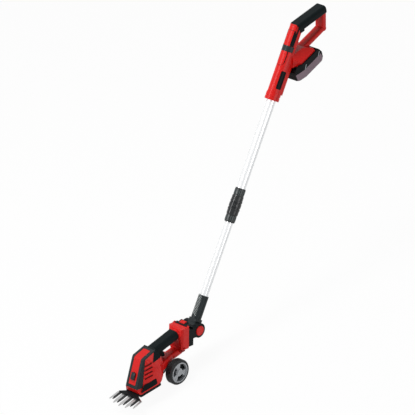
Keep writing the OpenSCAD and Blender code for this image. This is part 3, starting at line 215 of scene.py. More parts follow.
def drawn_lines():
    """Fine scratches left along a drawn or ground metal, with a slow change of brightness."""
    tree, start, end = group(
        "drawn_lines",
        [
            ("Vector", "Vector"),
            ("Colour", "Color"),
            ("Shade", "Color"),
            ("Roughness", "Float"),
            ("Line Scale", "Float"),
        ],
        [("Colour", "Color"), ("Roughness", "Float"), ("Lines", "Float")],
    )
    stretch = tree.nodes.new("ShaderNodeMapping")
    stretch.inputs["Scale"].default_value = LINE_STRETCH
    tree.links.new(start.outputs["Vector"], stretch.inputs["Vector"])
    lines = noise(tree, stretch.outputs["Vector"], start.outputs["Line Scale"], LINE_DETAIL)
    drift = noise(tree, start.outputs["Vector"], LINE_DRIFT_SCALE)
    colour = tinted(tree, drift, start.outputs["Colour"], start.outputs["Shade"])
    tree.links.new(colour, end.inputs["Colour"])
    tree.links.new(uneven(tree, lines, start.outputs["Roughness"]), end.inputs["Roughness"])
    tree.links.new(lines, end.inputs["Lines"])
    return tree


MOULDED = moulded_tone()
DRAWN = drawn_lines()


def darker(colour, share):
    return tuple(c * share for c in colour[:3]) + (1,)


def new_material(name):
    """A material, with its nodes, its shader and the place on the object."""
    material = bpy.data.materials.new(name)
    material.use_nodes = True
    tree = material.node_tree
    shader = tree.nodes["Principled BSDF"]
    place = tree.nodes.new("ShaderNodeTexCoord")
    return material, tree, shader, place.outputs["Object"]


def toned(tree, shader, shared, vector, values):
    """Leads a shared group's colour and gloss to a shader."""
    tone = tree.nodes.new("ShaderNodeGroup")
    tone.node_tree = shared
    tree.links.new(vector, tone.inputs["Vector"])
    for label, value in values.items():
        tone.inputs[label].default_value = value
    tree.links.new(tone.outputs["Colour"], shader.inputs["Base Color"])
    tree.links.new(tone.outputs["Roughness"], shader.inputs["Roughness"])
    return tone


def bumped(tree, shader, height, strength, distance):
    """Lays a pattern over a shader as fine relief."""
    bump = tree.nodes.new("ShaderNodeBump")
    bump.inputs["Strength"].default_value = strength
    bump.inputs["Distance"].default_value = distance
    tree.links.new(height, bump.inputs["Height"])
    tree.links.new(bump.outputs["Normal"], shader.inputs["Normal"])


def moulded(name, colour, shade, roughness, grain, depth, specular=PLAIN_SPECULAR):
    """Moulded plastic or rubber."""
    material, tree, shader, place = new_material(name)
    values = {
        "Colour": colour,
        "Shade": darker(colour, shade),
        "Roughness": roughness,
        "Grain Scale": grain,
    }
    tone = toned(tree, shader, MOULDED, place, values)
    shader.inputs["Specular IOR Level"].default_value = specular
    bumped(tree, shader, tone.outputs["Grain"], GRAIN_STRENGTH, depth)
    return material


def metal(name, colour, shade, roughness, along, depth, metallic=1.0, lines=LINE_SCALE):
    """Drawn or ground metal with its lines along a direction."""
    material, tree, shader, place = new_material(name)
    turn = tree.nodes.new("ShaderNodeMapping")
    turn.vector_type = "TEXTURE"
    turn.inputs["Rotation"].default_value = FORWARD.rotation_difference(along).to_euler()
    tree.links.new(place, turn.inputs["Vector"])
    values = {
        "Colour": colour,
        "Shade": darker(colour, shade),
        "Roughness": roughness,
        "Line Scale": lines,
    }
    tone = toned(tree, shader, DRAWN, turn.outputs["Vector"], values)
    shader.inputs["Metallic"].default_value = metallic
    bumped(tree, shader, tone.outputs["Lines"], LINE_STRENGTH, depth)
    return material


red_plastic = moulded(
    "red_plastic", RED, shade=0.9, roughness=0.30, grain=1800, depth=0.000003, specular=0.24
)
# Dark red backing seen through the nose's slots, a painted shade
slot_shade_red = moulded(
    "slot_shade_red", SLOT_SHADE_RED, shade=0.9, roughness=0.5, grain=1800, depth=0.000003, specular=0.1
)
black_plastic = moulded(
    "black_plastic", BLACK, shade=0.8, roughness=0.34, grain=2600, depth=0.00001, specular=0.08
)
grey_plastic = moulded(
    "grey_plastic", DARK_GREY, shade=0.85, roughness=0.30, grain=2600, depth=0.00001, specular=0.18
)
gloss_black = moulded(
    "gloss_black", BLACK, shade=0.8, roughness=0.16, grain=900, depth=0.000001, specular=0.4
)
plaque_black = moulded(
    "plaque_black", BLACK, shade=0.8, roughness=0.2, grain=900, depth=0.000005, specular=0.05
)
soft_rubber = moulded(
    "soft_rubber", SOFT_BLACK, shade=0.75, roughness=0.42, grain=3200, depth=0.00003, specular=0.06
)
# Clamp ribs painted grey, a painted sheen
clamp_rubber_painted_sheen = moulded(
    "clamp_rubber_painted_sheen", CLAMP_SHEEN_GREY, shade=0.85, roughness=0.35, grain=2600, depth=0.00001, specular=0.3
)
# Socket ribs painted light grey, a painted highlight
rib_rubber_painted_highlight = moulded(
    "rib_rubber_painted_highlight", PAINTED_HIGHLIGHT_RIB_GREY, shade=0.85, roughness=0.4, grain=2600, depth=0.00002, specular=0.3
)
tyre_rubber = moulded(
    "tyre_rubber", TYRE_BLACK, shade=0.8, roughness=0.5, grain=2200, depth=0.00004, specular=0.25
)
mauve_plastic = moulded(
    "mauve_plastic", BASE_MAUVE, shade=0.8, roughness=0.3, grain=2600, depth=0.00002, specular=0.3
)
silver_plastic = moulded("silver_plastic", HUB_SILVER, shade=0.9, roughness=0.3, grain=1800, depth=0.00001)
cell_wrap = moulded("cell_wrap", CELL_GREY, shade=0.9, roughness=0.3, grain=1500, depth=0.00001)
board_mask = moulded("board_mask", BOARD_GREEN, shade=0.8, roughness=0.3, grain=1500, depth=0.00001)
tube_metal = metal(
    "tube_metal",
    TUBE_WHITE,
    shade=0.96,
    roughness=0.16,
    along=POLE_UP,
    depth=0.000001,
    metallic=0.4,
    lines=90.0,
)
blade_metal = metal("blade_metal", BLADE_STEEL, shade=0.85, roughness=0.28, along=ACROSS, depth=0.00002)
black_blade = metal(
    "black_blade", BLADE_BLACK, shade=0.85, roughness=0.32, along=ACROSS, depth=0.00002, metallic=0.6
)
plain_steel = metal("plain_steel", BLADE_STEEL, shade=0.85, roughness=0.3, along=FORWARD, depth=0.00001)
gear_metal = metal("gear_metal", GEAR_BRASS, shade=0.85, roughness=0.3, along=UP, depth=0.00001)

finish_of = {
    red_plastic: "handle_shell_left handle_shell_right handle_ridge_panel head_shell_left head_shell_right "
    "nose_strip tilt_button adapter_latch battery_release",
    grey_plastic: "handle_lock_button pole_socket nose_frame handle_switch head_switch gearbox_housing "
    "gearbox_cover clamp_collet blade_yoke blade_release_button",
    black_plastic: "handle_trigger head_trigger battery_case battery_base base_tray blade_cover "
    "wheel_bracket tube_plug handle_terminal_block wheel_left_web wheel_right_web adapter_body",
    gloss_black: "clamp_body clamp_nut",
    plaque_black: "handle_plaque head_plaque",
    soft_rubber: "handle_soft_grip head_soft_grip",
    tube_metal: "upper_tube lower_tube",
    blade_metal: "fixed_blade",
    black_blade: "moving_blade",
    plain_steel: "handle_screws head_screws pivot_pin bearings motor_can wheel_axle crank_shaft",
    gear_metal: "motor_pinion drive_gear",
    silver_plastic: "wheel_left_hub wheel_right_hub battery_accents",
    tyre_rubber: "wheel_left_tyre wheel_right_tyre",
    cell_wrap: "battery_cells",
    board_mask: "battery_board",
}
material_of = {node: material for material, names in finish_of.items() for node in names.split()}


def dress(obj, material):
    obj.data.materials.clear()
    obj.data.materials.append(material)


for name, obj in nodes.items():
    dress(obj, material_of[name])


# Ways of working on a mesh
PICK_MODES = {"VERT": (True, False, False), "EDGE": (False, True, False), "FACE": (False, False, True)}


def select_only(obj):
    bpy.ops.object.select_all(action="DESELECT")
    obj.select_set(True)
    bpy.context.view_layer.objects.active = obj


def apply_modifiers(obj):
    select_only(obj)
    for modifier in list(obj.modifiers):
        bpy.ops.object.modifier_apply(modifier=modifier.name)


def settle(obj):
    """Puts an object's place into its mesh."""
    select_only(obj)
    bpy.ops.object.transform_apply(location=True, rotation=True, scale=True)


@contextmanager
def whole_mesh(obj):
    """Opens an object's mesh for editing with all of it selected, then closes it."""
    select_only(obj)
    bpy.ops.object.mode_set(mode="EDIT")
    bpy.ops.mesh.select_all(action="SELECT")
    yield
    bpy.ops.object.mode_set(mode="OBJECT")


@contextmanager
def picked(obj, kind, chosen):
    """Opens an object's mesh with only the chosen points, edges or faces selected, then closes it."""
    select_only(obj)
    bpy.context.tool_settings.mesh_select_mode = PICK_MODES[kind]
    mesh = obj.data
    rows = {"VERT": mesh.vertices, "EDGE": mesh.edges, "FACE": mesh.polygons}
    for row in rows.values():
        row.foreach_set("select", [False] * len(row))
    for item in rows[kind]:
        item.select = chosen(item)
    bpy.ops.object.mode_set(mode="EDIT")
    yield
    bpy.ops.object.mode_set(mode="OBJECT")


def drop_picked():
    """Deletes the picked faces and selects what is left."""
    bpy.ops.mesh.delete(type="FACE")
    bpy.ops.mesh.select_all(action="SELECT")


def cut(obj, planes, trim):
    """Cuts an object's faces along planes, each a point and a direction, and can trim off that side."""
    with whole_mesh(obj):
        for point, away in planes:
            bpy.ops.mesh.select_all(action="SELECT")
            bpy.ops.mesh.bisect(plane_co=point, plane_no=away, clear_outer=trim)


def thicken(sheet, thickness, even):
    """Gives a sheet a wall on its outer side."""
    wall = sheet.modifiers.new("wall", "SOLIDIFY")
    wall.thickness = thickness
    wall.offset = 1
    wall.use_even_offset = even
    apply_modifiers(sheet)


def rounded(obj, width, segments=EDGE_SEGMENTS, sharper_than=EDGE_ANGLE):
    """Rounds an object's edges that are sharper than an angle."""
    bevel = obj.modifiers.new("edges", "BEVEL")
    bevel.width = width
    bevel.segments = segments
    bevel.limit_method = "ANGLE"
    bevel.angle_limit = sharper_than
    apply_modifiers(obj)


def even_shading(obj, angle):
    """Smooths an object over its soft edges, led by its larger faces."""
    select_only(obj)
    bpy.ops.object.shade_smooth_by_angle(angle=angle)
    weight = obj.modifiers.new("faces", "WEIGHTED_NORMAL")
    weight.keep_sharp = True
    apply_modifiers(obj)


def block(size, place=(0, 0, 0)):
    """A block to be shaped further."""
    bpy.ops.object.select_all(action="DESELECT")
    bpy.ops.mesh.primitive_cube_add(size=1)
    obj = bpy.context.object
    obj.scale = size
    obj.location = place
    settle(obj)
    return obj


def merged_copy(node, name):
    """A node's mesh in a new object, its loose triangles joined to whole faces."""
    piece = bpy.data.objects.new(name, nodes[node].data.copy())
    bpy.context.scene.collection.objects.link(piece)
    with whole_mesh(piece):
        bpy.ops.mesh.remove_doubles(threshold=MERGE)
        bpy.ops.mesh.dissolve_limited(angle_limit=FLAT_ANGLE)
    return piece


def gathered(parts):
    """Joins objects to one."""
    bpy.ops.object.select_all(action="DESELECT")
    for part in parts:
        part.select_set(True)
    bpy.context.view_layer.objects.active = parts[0]
    if len(parts) > 1:
        bpy.ops.object.join()
    return bpy.context.view_layer.objects.active


def seat(piece, node, material):
    """Dresses a piece, which rides with a node's body."""
    dress(piece, material)
    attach(piece, body_of_node[node])


def stand_in(piece, node, material):
    """Seats a piece that is shown instead of a node."""
    seat(piece, node, material)
    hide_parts(node)


def joined(parts, name, node, material):
    """Joins objects to one piece, seated with a node."""
    whole = gathered(parts)
    whole.name = name
    select_only(whole)
    bpy.ops.object.shade_smooth_by_angle(angle=SMOOTH_ANGLE)
    seat(whole, node, material)
    return whole


# Skins: a node's own shape with its edges rounded as a mould leaves them
EDGE_WIDTHS = {
    1.6 * MM: "adapter_body battery_case battery_base",
    0.8 * MM: "handle_shell_left handle_shell_right head_shell_left head_shell_right pole_socket "
    "head_soft_grip handle_soft_grip",
    0.5 * MM: "nose_frame nose_strip handle_ridge_panel handle_lock_button adapter_latch battery_release "
    "head_trigger handle_trigger base_tray wheel_bracket wheel_left_hub wheel_right_hub "
    "tilt_button clamp_body clamp_nut",
    0.25 * MM: "blade_cover handle_plaque battery_accents upper_tube lower_tube fixed_blade moving_blade",
}


def skin(node, width):
    """Shows a node's own shape with its edges rounded, less the faces that a tight corner leaves empty."""
    piece = merged_copy(node, node + "_skin")
    rounded(piece, width, sharper_than=SKIN_ANGLE)
    with whole_mesh(piece):
        bpy.ops.mesh.remove_doubles(threshold=MERGE)
        bpy.ops.mesh.dissolve_degenerate(threshold=MERGE)
    even_shading(piece, SKIN_ANGLE)
    stand_in(piece, node, material_of[node])


for width, names in EDGE_WIDTHS.items():
    for node in names.split():
        skin(node, width)


# Places on the head, the pole and the battery deck
def turned(origin, along_x, along_y, along_z):
    """A place with its own three directions, as a matrix."""
    axes = Matrix((along_x, along_y, along_z)).transposed()
    return Matrix.Translation(origin) @ axes.to_4x4()


def head_point(along, level):
    """A point of the head's middle plane, in millimetres from the ground under the axle."""
    return GROUND + Vector((along * MM, 0, level * MM))


def deck_point(along, level):
    """A point of the battery deck's middle plane."""
    return DECK_AT + DECK_FORE * along + DECK_UP * level


low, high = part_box("wheel_axle")
AXLE_HEIGHT = 35 * MM
GROUND = (low + high) / 2 - Vector((0, 0, AXLE_HEIGHT))
ON_POLE = turned(TILT_PIVOT, POLE_FRONT, ACROSS, POLE_UP)
HANDLE_RISE = 641 * MM
DECK_FRONT, DECK_RISE = -71.4 * MM, 169.8 * MM
DECK_UP = DECK_REAR.cross(ACROSS).normalized()
DECK_UP = DECK_UP if DECK_UP.z > 0 else -DECK_UP
DECK_FORE = ACROSS.cross(DECK_UP).normalized()
DECK_AT = TILT_PIVOT + POLE_UP * (HANDLE_RISE + DECK_RISE) + POLE_FRONT * DECK_FRONT
ON_DECK = turned(DECK_AT, DECK_FORE, ACROSS, DECK_UP)


# Small mouldings that the solids leave plain
def rib(place, centre, size, round_over, cuts=0):
    """A rounded bar at a point of a place, its faces divided where it is to be twisted."""
    bar = block(size)
    rounded(bar, round_over)
    if cuts:
        with whole_mesh(bar):
            bpy.ops.mesh.subdivide(number_cuts=cuts)
    bar.matrix_world = place @ Matrix.Translation(centre)
    settle(bar)
    return bar


# Slanting grip ribs over the front of the pole socket, their light grey a painted highlight of its lit side
SOCKET_RADIUS = 14 * MM
SOCKET_RIBS = 11
SOCKET_RIB_FROM = 38 * MM
SOCKET_RIB_PITCH = 5 * MM
SOCKET_RIB_SIZE = Vector((1.6, 2.0, 9)) * MM
SOCKET_RIB_ROUND = 0.3 * MM
SOCKET_RIB_SWEEP = math.radians(-54)
SOCKET_RIB_CUTS = 9


def socket_rib(number):
    bar = rib(Matrix(), FORWARD * SOCKET_RADIUS, SOCKET_RIB_SIZE, SOCKET_RIB_ROUND, SOCKET_RIB_CUTS)
    sweep = bar.modifiers.new("sweep", "SIMPLE_DEFORM")
    sweep.deform_method = "TWIST"
    sweep.deform_axis = "Z"
    sweep.angle = SOCKET_RIB_SWEEP
    apply_modifiers(bar)
    bar.matrix_world = ON_POLE @ Matrix.Translation((0, 0, SOCKET_RIB_FROM + number * SOCKET_RIB_PITCH))
    settle(bar)
    return bar


joined([socket_rib(number) for number in range(SOCKET_RIBS)], "socket_ribs", "pole_socket", rib_rubber_painted_highlight)

# Gripping ribs round both ends of the clamp, their grey a painted sheen on the black clamp
CLAMP_MIDDLE = 345.5 * MM
CLAMP_RIBS = 18
CLAMP_RIB_AT = Vector((14.1, 0, 36.5)) * MM
CLAMP_RIB_SIZE = Vector((1.2, 1.9, 15)) * MM
CLAMP_RIB_ROUND = 0.4 * MM
CLAMP_TURNS = [Matrix.Rotation(math.tau * number / CLAMP_RIBS, 4, "Z") for number in range(CLAMP_RIBS)]


def clamp_ribs(node, end):
    place = ON_POLE @ Matrix.Translation((0, 0, CLAMP_MIDDLE + end * CLAMP_RIB_AT.z))
    reach = FORWARD * CLAMP_RIB_AT.x
    bars = [rib(place @ turn, reach, CLAMP_RIB_SIZE, CLAMP_RIB_ROUND) for turn in CLAMP_TURNS]
    joined(bars, node + "_ribs", node, clamp_rubber_painted_sheen)


clamp_ribs("clamp_body", 1)
clamp_ribs("clamp_nut", -1)


# Thin facings moulded over a solid's own surface
FACING_T = 0.35 * MM
FACING_MERGE = 0.12 * MM


def facing(name, members, planes, shown, thickness, material, node):
    """Copies the members' faces, trims them by planes and thickens those that are to be shown."""
    sheet = gathered([merged_copy(member, name) for member in members])
    cut(sheet, planes, trim=True)
    with picked(sheet, "FACE", lambda face: not shown(face.center, face.normal)):
        drop_picked()
        bpy.ops.mesh.remove_doubles(threshold=FACING_MERGE)
    thicken(sheet, thickness, even=True)
    sheet.name = name
    even_shading(sheet, SMOOTH_ANGLE)
    seat(sheet, node, material)


# Panels with running ribs along both sides of the battery
SIDE_PANEL_TOP = -17 * MM
SIDE_PANEL_FOOT = -38.4 * MM
SIDE_PANEL_ENDS = (-1 * MM, 97 * MM)
SIDE_PANEL_T = 0.4 * MM
SIDE_PANEL_FROM_MIDDLE = 26 * MM
SIDEWAYS = 0.9
BASE_HALF_WIDTH = 38.3 * MM
BASE_RIB_LEVELS = (-21 * MM, -25 * MM, -29 * MM, -33 * MM)
BASE_RIB_MIDDLE = 34 * MM
BASE_RIB_SIZE = Vector((66, 0.9, 1.2)) * MM
BASE_RIB_ROUND = 0.3 * MM


def on_battery_side(centre, normal):
    outward = normal.y * centre.y > 0
    return outward and abs(normal.y) > SIDEWAYS and abs(centre.y) > SIDE_PANEL_FROM_MIDDLE


facing(
    "battery_side_panels",
    ("battery_case", "battery_base"),
    (
        (deck_point(0, SIDE_PANEL_TOP), DECK_UP),
        (deck_point(0, SIDE_PANEL_FOOT), -DECK_UP),
        (deck_point(SIDE_PANEL_ENDS[0], 0), -DECK_FORE),
        (deck_point(SIDE_PANEL_ENDS[1], 0), DECK_FORE),
    ),
    on_battery_side,
    SIDE_PANEL_T,
    mauve_plastic,
    "battery_base",
)
joined(
    [
        rib(
            ON_DECK,
            Vector((BASE_RIB_MIDDLE, side * BASE_HALF_WIDTH, level)),
            BASE_RIB_SIZE,
            BASE_RIB_ROUND,
        )
        for side in (-1, 1)
        for level in BASE_RIB_LEVELS
    ],
    "battery_side_ribs",
    "battery_base",
    mauve_plastic,
)

# Dark collar over the rear shoulder of the nose, and dark skirts beside its crown
HEAD_SHELLS = ("head_shell_left", "head_shell_right")
NOSE_AXIS_LEVEL = 85
NOSE_FORWARDS = 0.6
SHOULDER = Vector((1, 0, 1)).normalized()
COLLAR_FRONT = head_point(46, 131)
COLLAR_REAR = head_point(22, 131)
COLLAR_FOOT = head_point(0, 108)
SKIRT_TOP, SKIRT_FOOT = head_point(85, 124), head_point(118, 58)
SKIRT_EDGE = (SKIRT_FOOT - SKIRT_TOP).normalized().cross(ACROSS)
SKIRT_EDGE = SKIRT_EDGE if SKIRT_EDGE.x < 0 else -SKIRT_EDGE


def on_outside(centre, normal):
    """Whether a face of the nose looks forwards or away from the nose's long axis."""
    rise = centre.z - head_point(0, NOSE_AXIS_LEVEL).z
    return normal.y * centre.y + normal.z * rise > 0 or normal.x > NOSE_FORWARDS


facing(
    "nose_collar",
    HEAD_SHELLS,
    (
        (COLLAR_FRONT, SHOULDER),
        (COLLAR_REAR, -FORWARD),
        (COLLAR_FOOT, -UP),
    ),
    on_outside,
    FACING_T,
    soft_rubber,
    "nose_frame",
)
facing(
    "nose_skirts",
    HEAD_SHELLS,
    (
        (SKIRT_TOP, SKIRT_EDGE),
        (SKIRT_FOOT, -UP),
    ),
    on_outside,
    FACING_T,
    grey_plastic,
    "nose_frame",
)

# Raised cheeks behind the skirts, each with four slanting slots through it to a dark red backing sheet, painted
# shade standing in for the depth of the slots
CHEEK_FOOT, CHEEK_TOP = 45, 121
CHEEK_REAR = head_point(60, 69)
CHEEK_REAR_AWAY = Vector((-39, 0, 9)).normalized()
CHEEK_T = 1.1 * MM
CHEEK_EDGE = 0.4 * MM
CHEEK_FROM_MIDDLE = 20 * MM
CHEEK_SIDEWAYS = 0.3
CHEEK_PLANES = (
    (SKIRT_TOP, -SKIRT_EDGE),
    (CHEEK_REAR, CHEEK_REAR_AWAY),
    (head_point(0, CHEEK_FOOT), -UP),
    (head_point(0, CHEEK_TOP), UP),
)
SLOT_PLACES = [head_point(*place) for place in ((93.5, 78.5), (90, 89), (86.5, 99.5), (83, 110))]
SLOT_L, SLOT_H = 23 * MM, 4.4 * MM
SLOT_TILT = Matrix.Rotation(math.radians(6), 3, "Y")
SLOT_ALONG, SLOT_UP = SLOT_TILT @ FORWARD, SLOT_TILT @ UP
SLOT_REACHES = (
    -SLOT_ALONG * SLOT_L / 2,
    SLOT_ALONG * SLOT_L / 2,
    -SLOT_UP * SLOT_H / 2,
    SLOT_UP * SLOT_H / 2,
)


def in_slot(face):
    offsets = [face.center - place for place in SLOT_PLACES]
    return any(
        abs(offset.dot(SLOT_ALONG)) < SLOT_L / 2 and abs(offset.dot(SLOT_UP)) < SLOT_H / 2
        for offset in offsets
    )


def nose_cheek(shell, side):
    """A plain sheet over the nose's side, thickened whole as the dark red backing that paints shade into the
    slots, and slotted as the cheek.
    """
    cheek = merged_copy(shell, shell + "_cheek")
    cut(cheek, CHEEK_PLANES, trim=True)

    def turned_away(face):
        return face.normal.y * side < CHEEK_SIDEWAYS

    def off_cheek(face):
        return turned_away(face) or face.center.y * side < CHEEK_FROM_MIDDLE

    with picked(cheek, "FACE", off_cheek):
        drop_picked()
        bpy.ops.mesh.convex_hull()
    with picked(cheek, "FACE", turned_away):
        drop_picked()
        bpy.ops.mesh.remove_doubles(threshold=FACING_MERGE)
        bpy.ops.mesh.dissolve_limited(angle_limit=FLAT_ANGLE)
    # Copy thickened whole as a dark red backing, painted shade seen through the slots
    slot_shade_sheet = bpy.data.objects.new(shell + "_grille", cheek.data.copy())
    bpy.context.scene.collection.objects.link(slot_shade_sheet)
    planes = [(place + reach, reach.normalized()) for place in SLOT_PLACES for reach in SLOT_REACHES]
    cut(cheek, planes, trim=False)
    with picked(cheek, "FACE", in_slot):
        drop_picked()
    thicken(slot_shade_sheet, FACING_T, even=False)
    thicken(cheek, CHEEK_T, even=False)
    rounded(cheek, CHEEK_EDGE, sharper_than=SMOOTH_ANGLE)
    even_shading(joined([cheek], shell + "_cheek", shell, red_plastic), SMOOTH_ANGLE)
    even_shading(joined([slot_shade_sheet], shell + "_grille", shell, slot_shade_red), SMOOTH_ANGLE)


nose_cheek("head_shell_left", 1)
nose_cheek("head_shell_right", -1)

# Fairing that eases the nose's rear into the beam under the finger opening
FAIRING_FRONT, FAIRING_REAR = 38, -14
FAIRING_FOOT, FAIRING_TOP = 58, 79
FAIRING_FRONT_W, FAIRING_REAR_W = 57, 31.6
FAIRING_REAR_DROP = 3 * MM
FAIRING_ROUND = 4 * MM


def beam_fairing():
    size = Vector((FAIRING_FRONT - FAIRING_REAR, FAIRING_FRONT_W, FAIRING_TOP - FAIRING_FOOT)) * MM
    middle = head_point((FAIRING_FRONT + FAIRING_REAR) / 2, (FAIRING_TOP + FAIRING_FOOT) / 2)
    fairing = block(size, middle)
    with picked(fairing, "VERT", lambda vertex: vertex.co.x < middle.x):
        bpy.ops.transform.resize(
            value=(1, FAIRING_REAR_W / FAIRING_FRONT_W, 1),
            center_override=tuple(head_point(FAIRING_REAR, FAIRING_FOOT)),
        )
        bpy.ops.transform.translate(value=(0, 0, -FAIRING_REAR_DROP))
    rounded(fairing, FAIRING_ROUND, ROUND_SEGMENTS)
    joined([fairing], "beam_fairing", "head_shell_left", red_plastic)


beam_fairing()

# Plain plate on the nose's left side, lying along it
PLATE_L, PLATE_H, PLATE_T = 54 * MM, 18 * MM, 1.6 * MM
PLATE_SLANT = 12 * MM
PLATE_AT = head_point(102, 56) + ACROSS * 33.8 * MM
SIDE_TURN = math.radians(-9.925)
PLATE_ROUND = 3 * MM
PLATE_EDGE = 0.4 * MM
ON_PLATE = Matrix.Translation(PLATE_AT) @ Matrix.Rotation(SIDE_TURN, 4, "Z")


def side_plate():
    plate = block((PLATE_L, PLATE_T, PLATE_H))
    with picked(plate, "VERT", lambda vertex: vertex.co.x > 0 and vertex.co.z > 0):
        bpy.ops.transform.translate(value=(-PLATE_SLANT, 0, 0))
    depths = [vertex.co.y for vertex in plate.data.vertices]

    def runs_across(edge):
        first, last = edge.vertices
        return abs(depths[first] - depths[last]) > PLATE_T / 2

    with picked(plate, "EDGE", runs_across):
        bpy.ops.mesh.bevel(offset=PLATE_ROUND, segments=ROUND_SEGMENTS, affect="EDGES")
    rounded(plate, PLATE_EDGE)
    plate.matrix_world = ON_PLATE
    settle(plate)
    plate.name = "head_side_plate"
    even_shading(plate, SMOOTH_ANGLE)
    stand_in(plate, "head_plaque", plaque_black)


side_plate()

# Blade release with a broad cap on its stem
SLOPE_ANGLE = math.radians(56.497)
SLOPE_TOP = head_point(88.976, 127.974)
SLOPE_DOWN = Vector((math.cos(SLOPE_ANGLE), 0, -math.sin(SLOPE_ANGLE)))
SLOPE_OUT = SLOPE_DOWN.cross(ACROSS).normalized()
SLOPE_OUT = SLOPE_OUT if SLOPE_OUT.x > 0 else -SLOPE_OUT
ON_SLOPE = turned(SLOPE_TOP, SLOPE_DOWN, ACROSS, SLOPE_OUT)
CAP_AT, CAP_SIZE, CAP_ROUND = Vector((51.2, 0, 3)) * MM, Vector((20.5, 14, 1.6)) * MM, 0.75 * MM
STEM_AT, STEM_SIZE, STEM_ROUND = Vector((47.54, 0, -0.4)) * MM, Vector((13, 9, 6)) * MM, 0.3 * MM
button_cap = joined(
    [rib(ON_SLOPE, CAP_AT, CAP_SIZE, CAP_ROUND), rib(ON_SLOPE, STEM_AT, STEM_SIZE, STEM_ROUND)],
    "blade_release_cap",
    "blade_release_button",
    grey_plastic,
)
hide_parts("blade_release_button")

# Dark seam round the ridge panel on the handle's front
SEAM_WIDTH = 0.9 * MM
SEAM_SINK = 1.1 * MM
seam = merged_copy("handle_ridge_panel", "ridge_seam")
with whole_mesh(seam):
    bpy.ops.transform.shrink_fatten(value=SEAM_WIDTH, use_even_offset=True)
    bpy.ops.transform.translate(value=-POLE_FRONT * SEAM_SINK)
joined([seam], "ridge_seam", "handle_ridge_panel", black_plastic)

# Thumb ribs on the battery's release
RELEASE_FACE, RELEASE_LEVEL = -7.42 * MM, -19 * MM
RELEASE_RIB_SIZE = Vector((0.8, 18, 0.9)) * MM
RELEASE_RIB_ROUND = 0.25 * MM
RELEASE_RIB_PITCH = 2.4 * MM
joined(
    [
        rib(
            ON_DECK,
            Vector((RELEASE_FACE, 0, RELEASE_LEVEL + row * RELEASE_RIB_PITCH)),
            RELEASE_RIB_SIZE,
            RELEASE_RIB_ROUND,
        )
        for row in (-1, 0, 1)
    ],
    "release_ribs",
    "battery_release",
    red_plastic,
)

# Tyres with grooves running round the tread
TREAD_GROOVES = (-4.6 * MM, 0, 4.6 * MM)
GROOVE_HALF_WIDTH = 0.7 * MM
GROOVE_DEPTH = 0.9 * MM
TREAD_REACH = 0.2 * MM


def grooved_tyre(node):
    tyre = merged_copy(node, node + "_treaded")
    low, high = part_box(node)
    centre = (low + high) / 2
    radius = (high.z - low.z) / 2
    planes = [
        (centre + ACROSS * (groove + edge), ACROSS)
        for groove in TREAD_GROOVES
        for edge in (-GROOVE_HALF_WIDTH, GROOVE_HALF_WIDTH)
    ]
    cut(tyre, planes, trim=False)

    def in_groove(face):
        offset = face.center - centre
        over_groove = any(abs(offset.y - groove) < GROOVE_HALF_WIDTH for groove in TREAD_GROOVES)
        return over_groove and math.hypot(offset.x, offset.z) > radius - TREAD_REACH

    with picked(tyre, "FACE", in_groove):
        bpy.ops.mesh.extrude_region_shrink_fatten(TRANSFORM_OT_shrink_fatten={"value": -GROOVE_DEPTH})
    even_shading(tyre, SMOOTH_ANGLE)
    stand_in(tyre, node, tyre_rubber)


grooved_tyre("wheel_left_tyre")
grooved_tyre("wheel_right_tyre")

# Screws with hexagon sockets in their heads
KEY_SIDES = 6
KEY_RADIUS = 1.75 * MM
KEY_DEPTH = 1.5 * MM
KEY_TURN = (math.pi / 2, 0, 0)
HEAD_AREA = 20 * MM * MM
HEAD_SIDEWAYS = 0.99


def key_socket(centre):
    """A cutter for the hexagon socket in the middle of a screw's head."""
    bpy.ops.object.select_all(action="DESELECT")
    bpy.ops.mesh.primitive_cylinder_add(
        vertices=KEY_SIDES, radius=KEY_RADIUS, depth=2 * KEY_DEPTH, location=centre, rotation=KEY_TURN
    )
    cutter = bpy.context.object
    settle(cutter)
    return cutter


def socket_screws(node, side):
    screws = merged_copy(node, node + "_keyed")
    heads = [
        face.center.copy()
        for face in screws.data.polygons
        if face.normal.y * side > HEAD_SIDEWAYS and face.area > HEAD_AREA
    ]
    cutters = [key_socket(centre) for centre in heads]
    for cutter in cutters:
        key = screws.modifiers.new("key", "BOOLEAN")
        key.operation = "DIFFERENCE"
        key.object = cutter
    apply_modifiers(screws)
    for cutter in cutters:
        bpy.data.objects.remove(cutter)
    even_shading(screws, SMOOTH_ANGLE)
    stand_in(screws, node, plain_steel)


socket_screws("head_screws", 1)
socket_screws("handle_screws", -1)

# Studio
FLOOR_DROP = 0.0005
FLOOR_SIZE = 12.0
FLOOR_GREY = (0.86, 0.86, 0.86, 1)
FLOOR_ROUGHNESS = 0.9
FLOOR_WHITENESS = 0.94
SKY_WHITENESS = 1.0
SKY_STRENGTH = 0.2
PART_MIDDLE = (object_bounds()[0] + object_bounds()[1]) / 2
CAMERA_BACK = CAMERA_RIGHT.cross(CAMERA_UP).normalized()


def calculated(tree, operation, first, second):
    """A value worked out from a socket and a number or another socket."""
    node = tree.nodes.new("ShaderNodeMath")
    node.operation = operation
    tree.links.new(first, node.inputs[0])
    if isinstance(second, float):
        node.inputs[1].default_value = second
    else:
        tree.links.new(second, node.inputs[1])
    return node.outputs[0]


def white_seen(tree, shader, white, whiteness, output):
    """Shows the lens, mirrors and glass a plain white, and lights the part with the shader's own level."""
    path = tree.nodes.new("ShaderNodeLightPath")
    seen = calculated(tree, "MAXIMUM", path.outputs["Is Camera Ray"], path.outputs["Is Glossy Ray"])
    seen = calculated(tree, "MAXIMUM", seen, path.outputs["Is Transmission Ray"])
    mix = tree.nodes.new("ShaderNodeMixShader")
    tree.links.new(calculated(tree, "MULTIPLY", seen, whiteness), mix.inputs[0])
    tree.links.new(shader.outputs[0], mix.inputs[1])
    tree.links.new(white.outputs[0], mix.inputs[2])
    tree.links.new(mix.outputs[0], tree.nodes[output].inputs["Surface"])


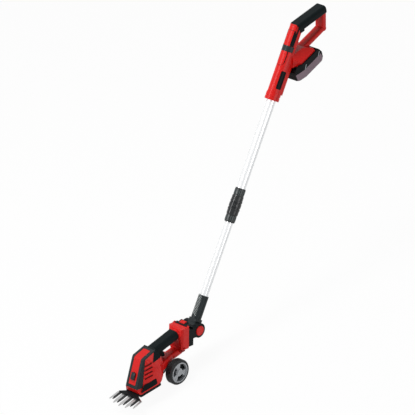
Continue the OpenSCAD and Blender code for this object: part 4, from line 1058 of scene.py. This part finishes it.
bpy.ops.object.select_all(action="DESELECT")
floor_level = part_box("wheel_left_tyre")[0].z - FLOOR_DROP
bpy.ops.mesh.primitive_plane_add(size=FLOOR_SIZE, location=(0, 0, floor_level))
floor = bpy.context.object
floor.name = "floor"
paper, tree, shader, _ = new_material("floor_paper")
shader.inputs["Base Color"].default_value = FLOOR_GREY
shader.inputs["Roughness"].default_value = FLOOR_ROUGHNESS
white_seen(tree, shader, tree.nodes.new("ShaderNodeEmission"), FLOOR_WHITENESS, "Material Output")
floor.data.materials.append(paper)

world = bpy.data.worlds.new("studio")
bpy.context.scene.world = world
world.use_nodes = True
sky = world.node_tree.nodes["Background"]
sky.inputs["Color"].default_value = WHITE
sky.inputs["Strength"].default_value = SKY_STRENGTH
bright = world.node_tree.nodes.new("ShaderNodeBackground")
bright.inputs["Color"].default_value = WHITE
white_seen(world.node_tree, sky, bright, SKY_WHITENESS, "World Output")


def softbox(name, right, up, back, width, height, power):
    """A lamp placed from the middle of the part along the camera's own directions, facing it."""
    lamp = bpy.data.lights.new(name, "AREA")
    lamp.shape = "RECTANGLE"
    lamp.size = width
    lamp.size_y = height
    lamp.energy = power
    obj = bpy.data.objects.new(name, lamp)
    bpy.context.scene.collection.objects.link(obj)
    offset = CAMERA_RIGHT * right + CAMERA_UP * up + CAMERA_BACK * back
    obj.location = PART_MIDDLE + offset
    obj.rotation_euler = offset.to_track_quat("Z", "Y").to_euler()


softbox("key", right=-1.4, up=2.6, back=1.6, width=1.4, height=1.4, power=66)
softbox("strip", right=-2.3, up=0.8, back=1.5, width=0.35, height=2.6, power=40)
softbox("fill", right=2.0, up=-0.4, back=2.0, width=1.6, height=1.6, power=20)

camera = bpy.data.objects.new("camera", bpy.data.cameras.new("camera"))
bpy.context.scene.collection.objects.link(camera)
camera.data.sensor_width = SENSOR_MM
camera.data.lens = FOCAL_PX / IMAGE_PX * SENSOR_MM
camera.data.clip_end = CLIP_END
camera.matrix_world = turned(CAMERA_AT, CAMERA_RIGHT, CAMERA_UP, CAMERA_BACK)
bpy.context.scene.camera = camera
bpy.context.scene.view_settings.view_transform = "Standard"

bpy.context.view_layer.update()
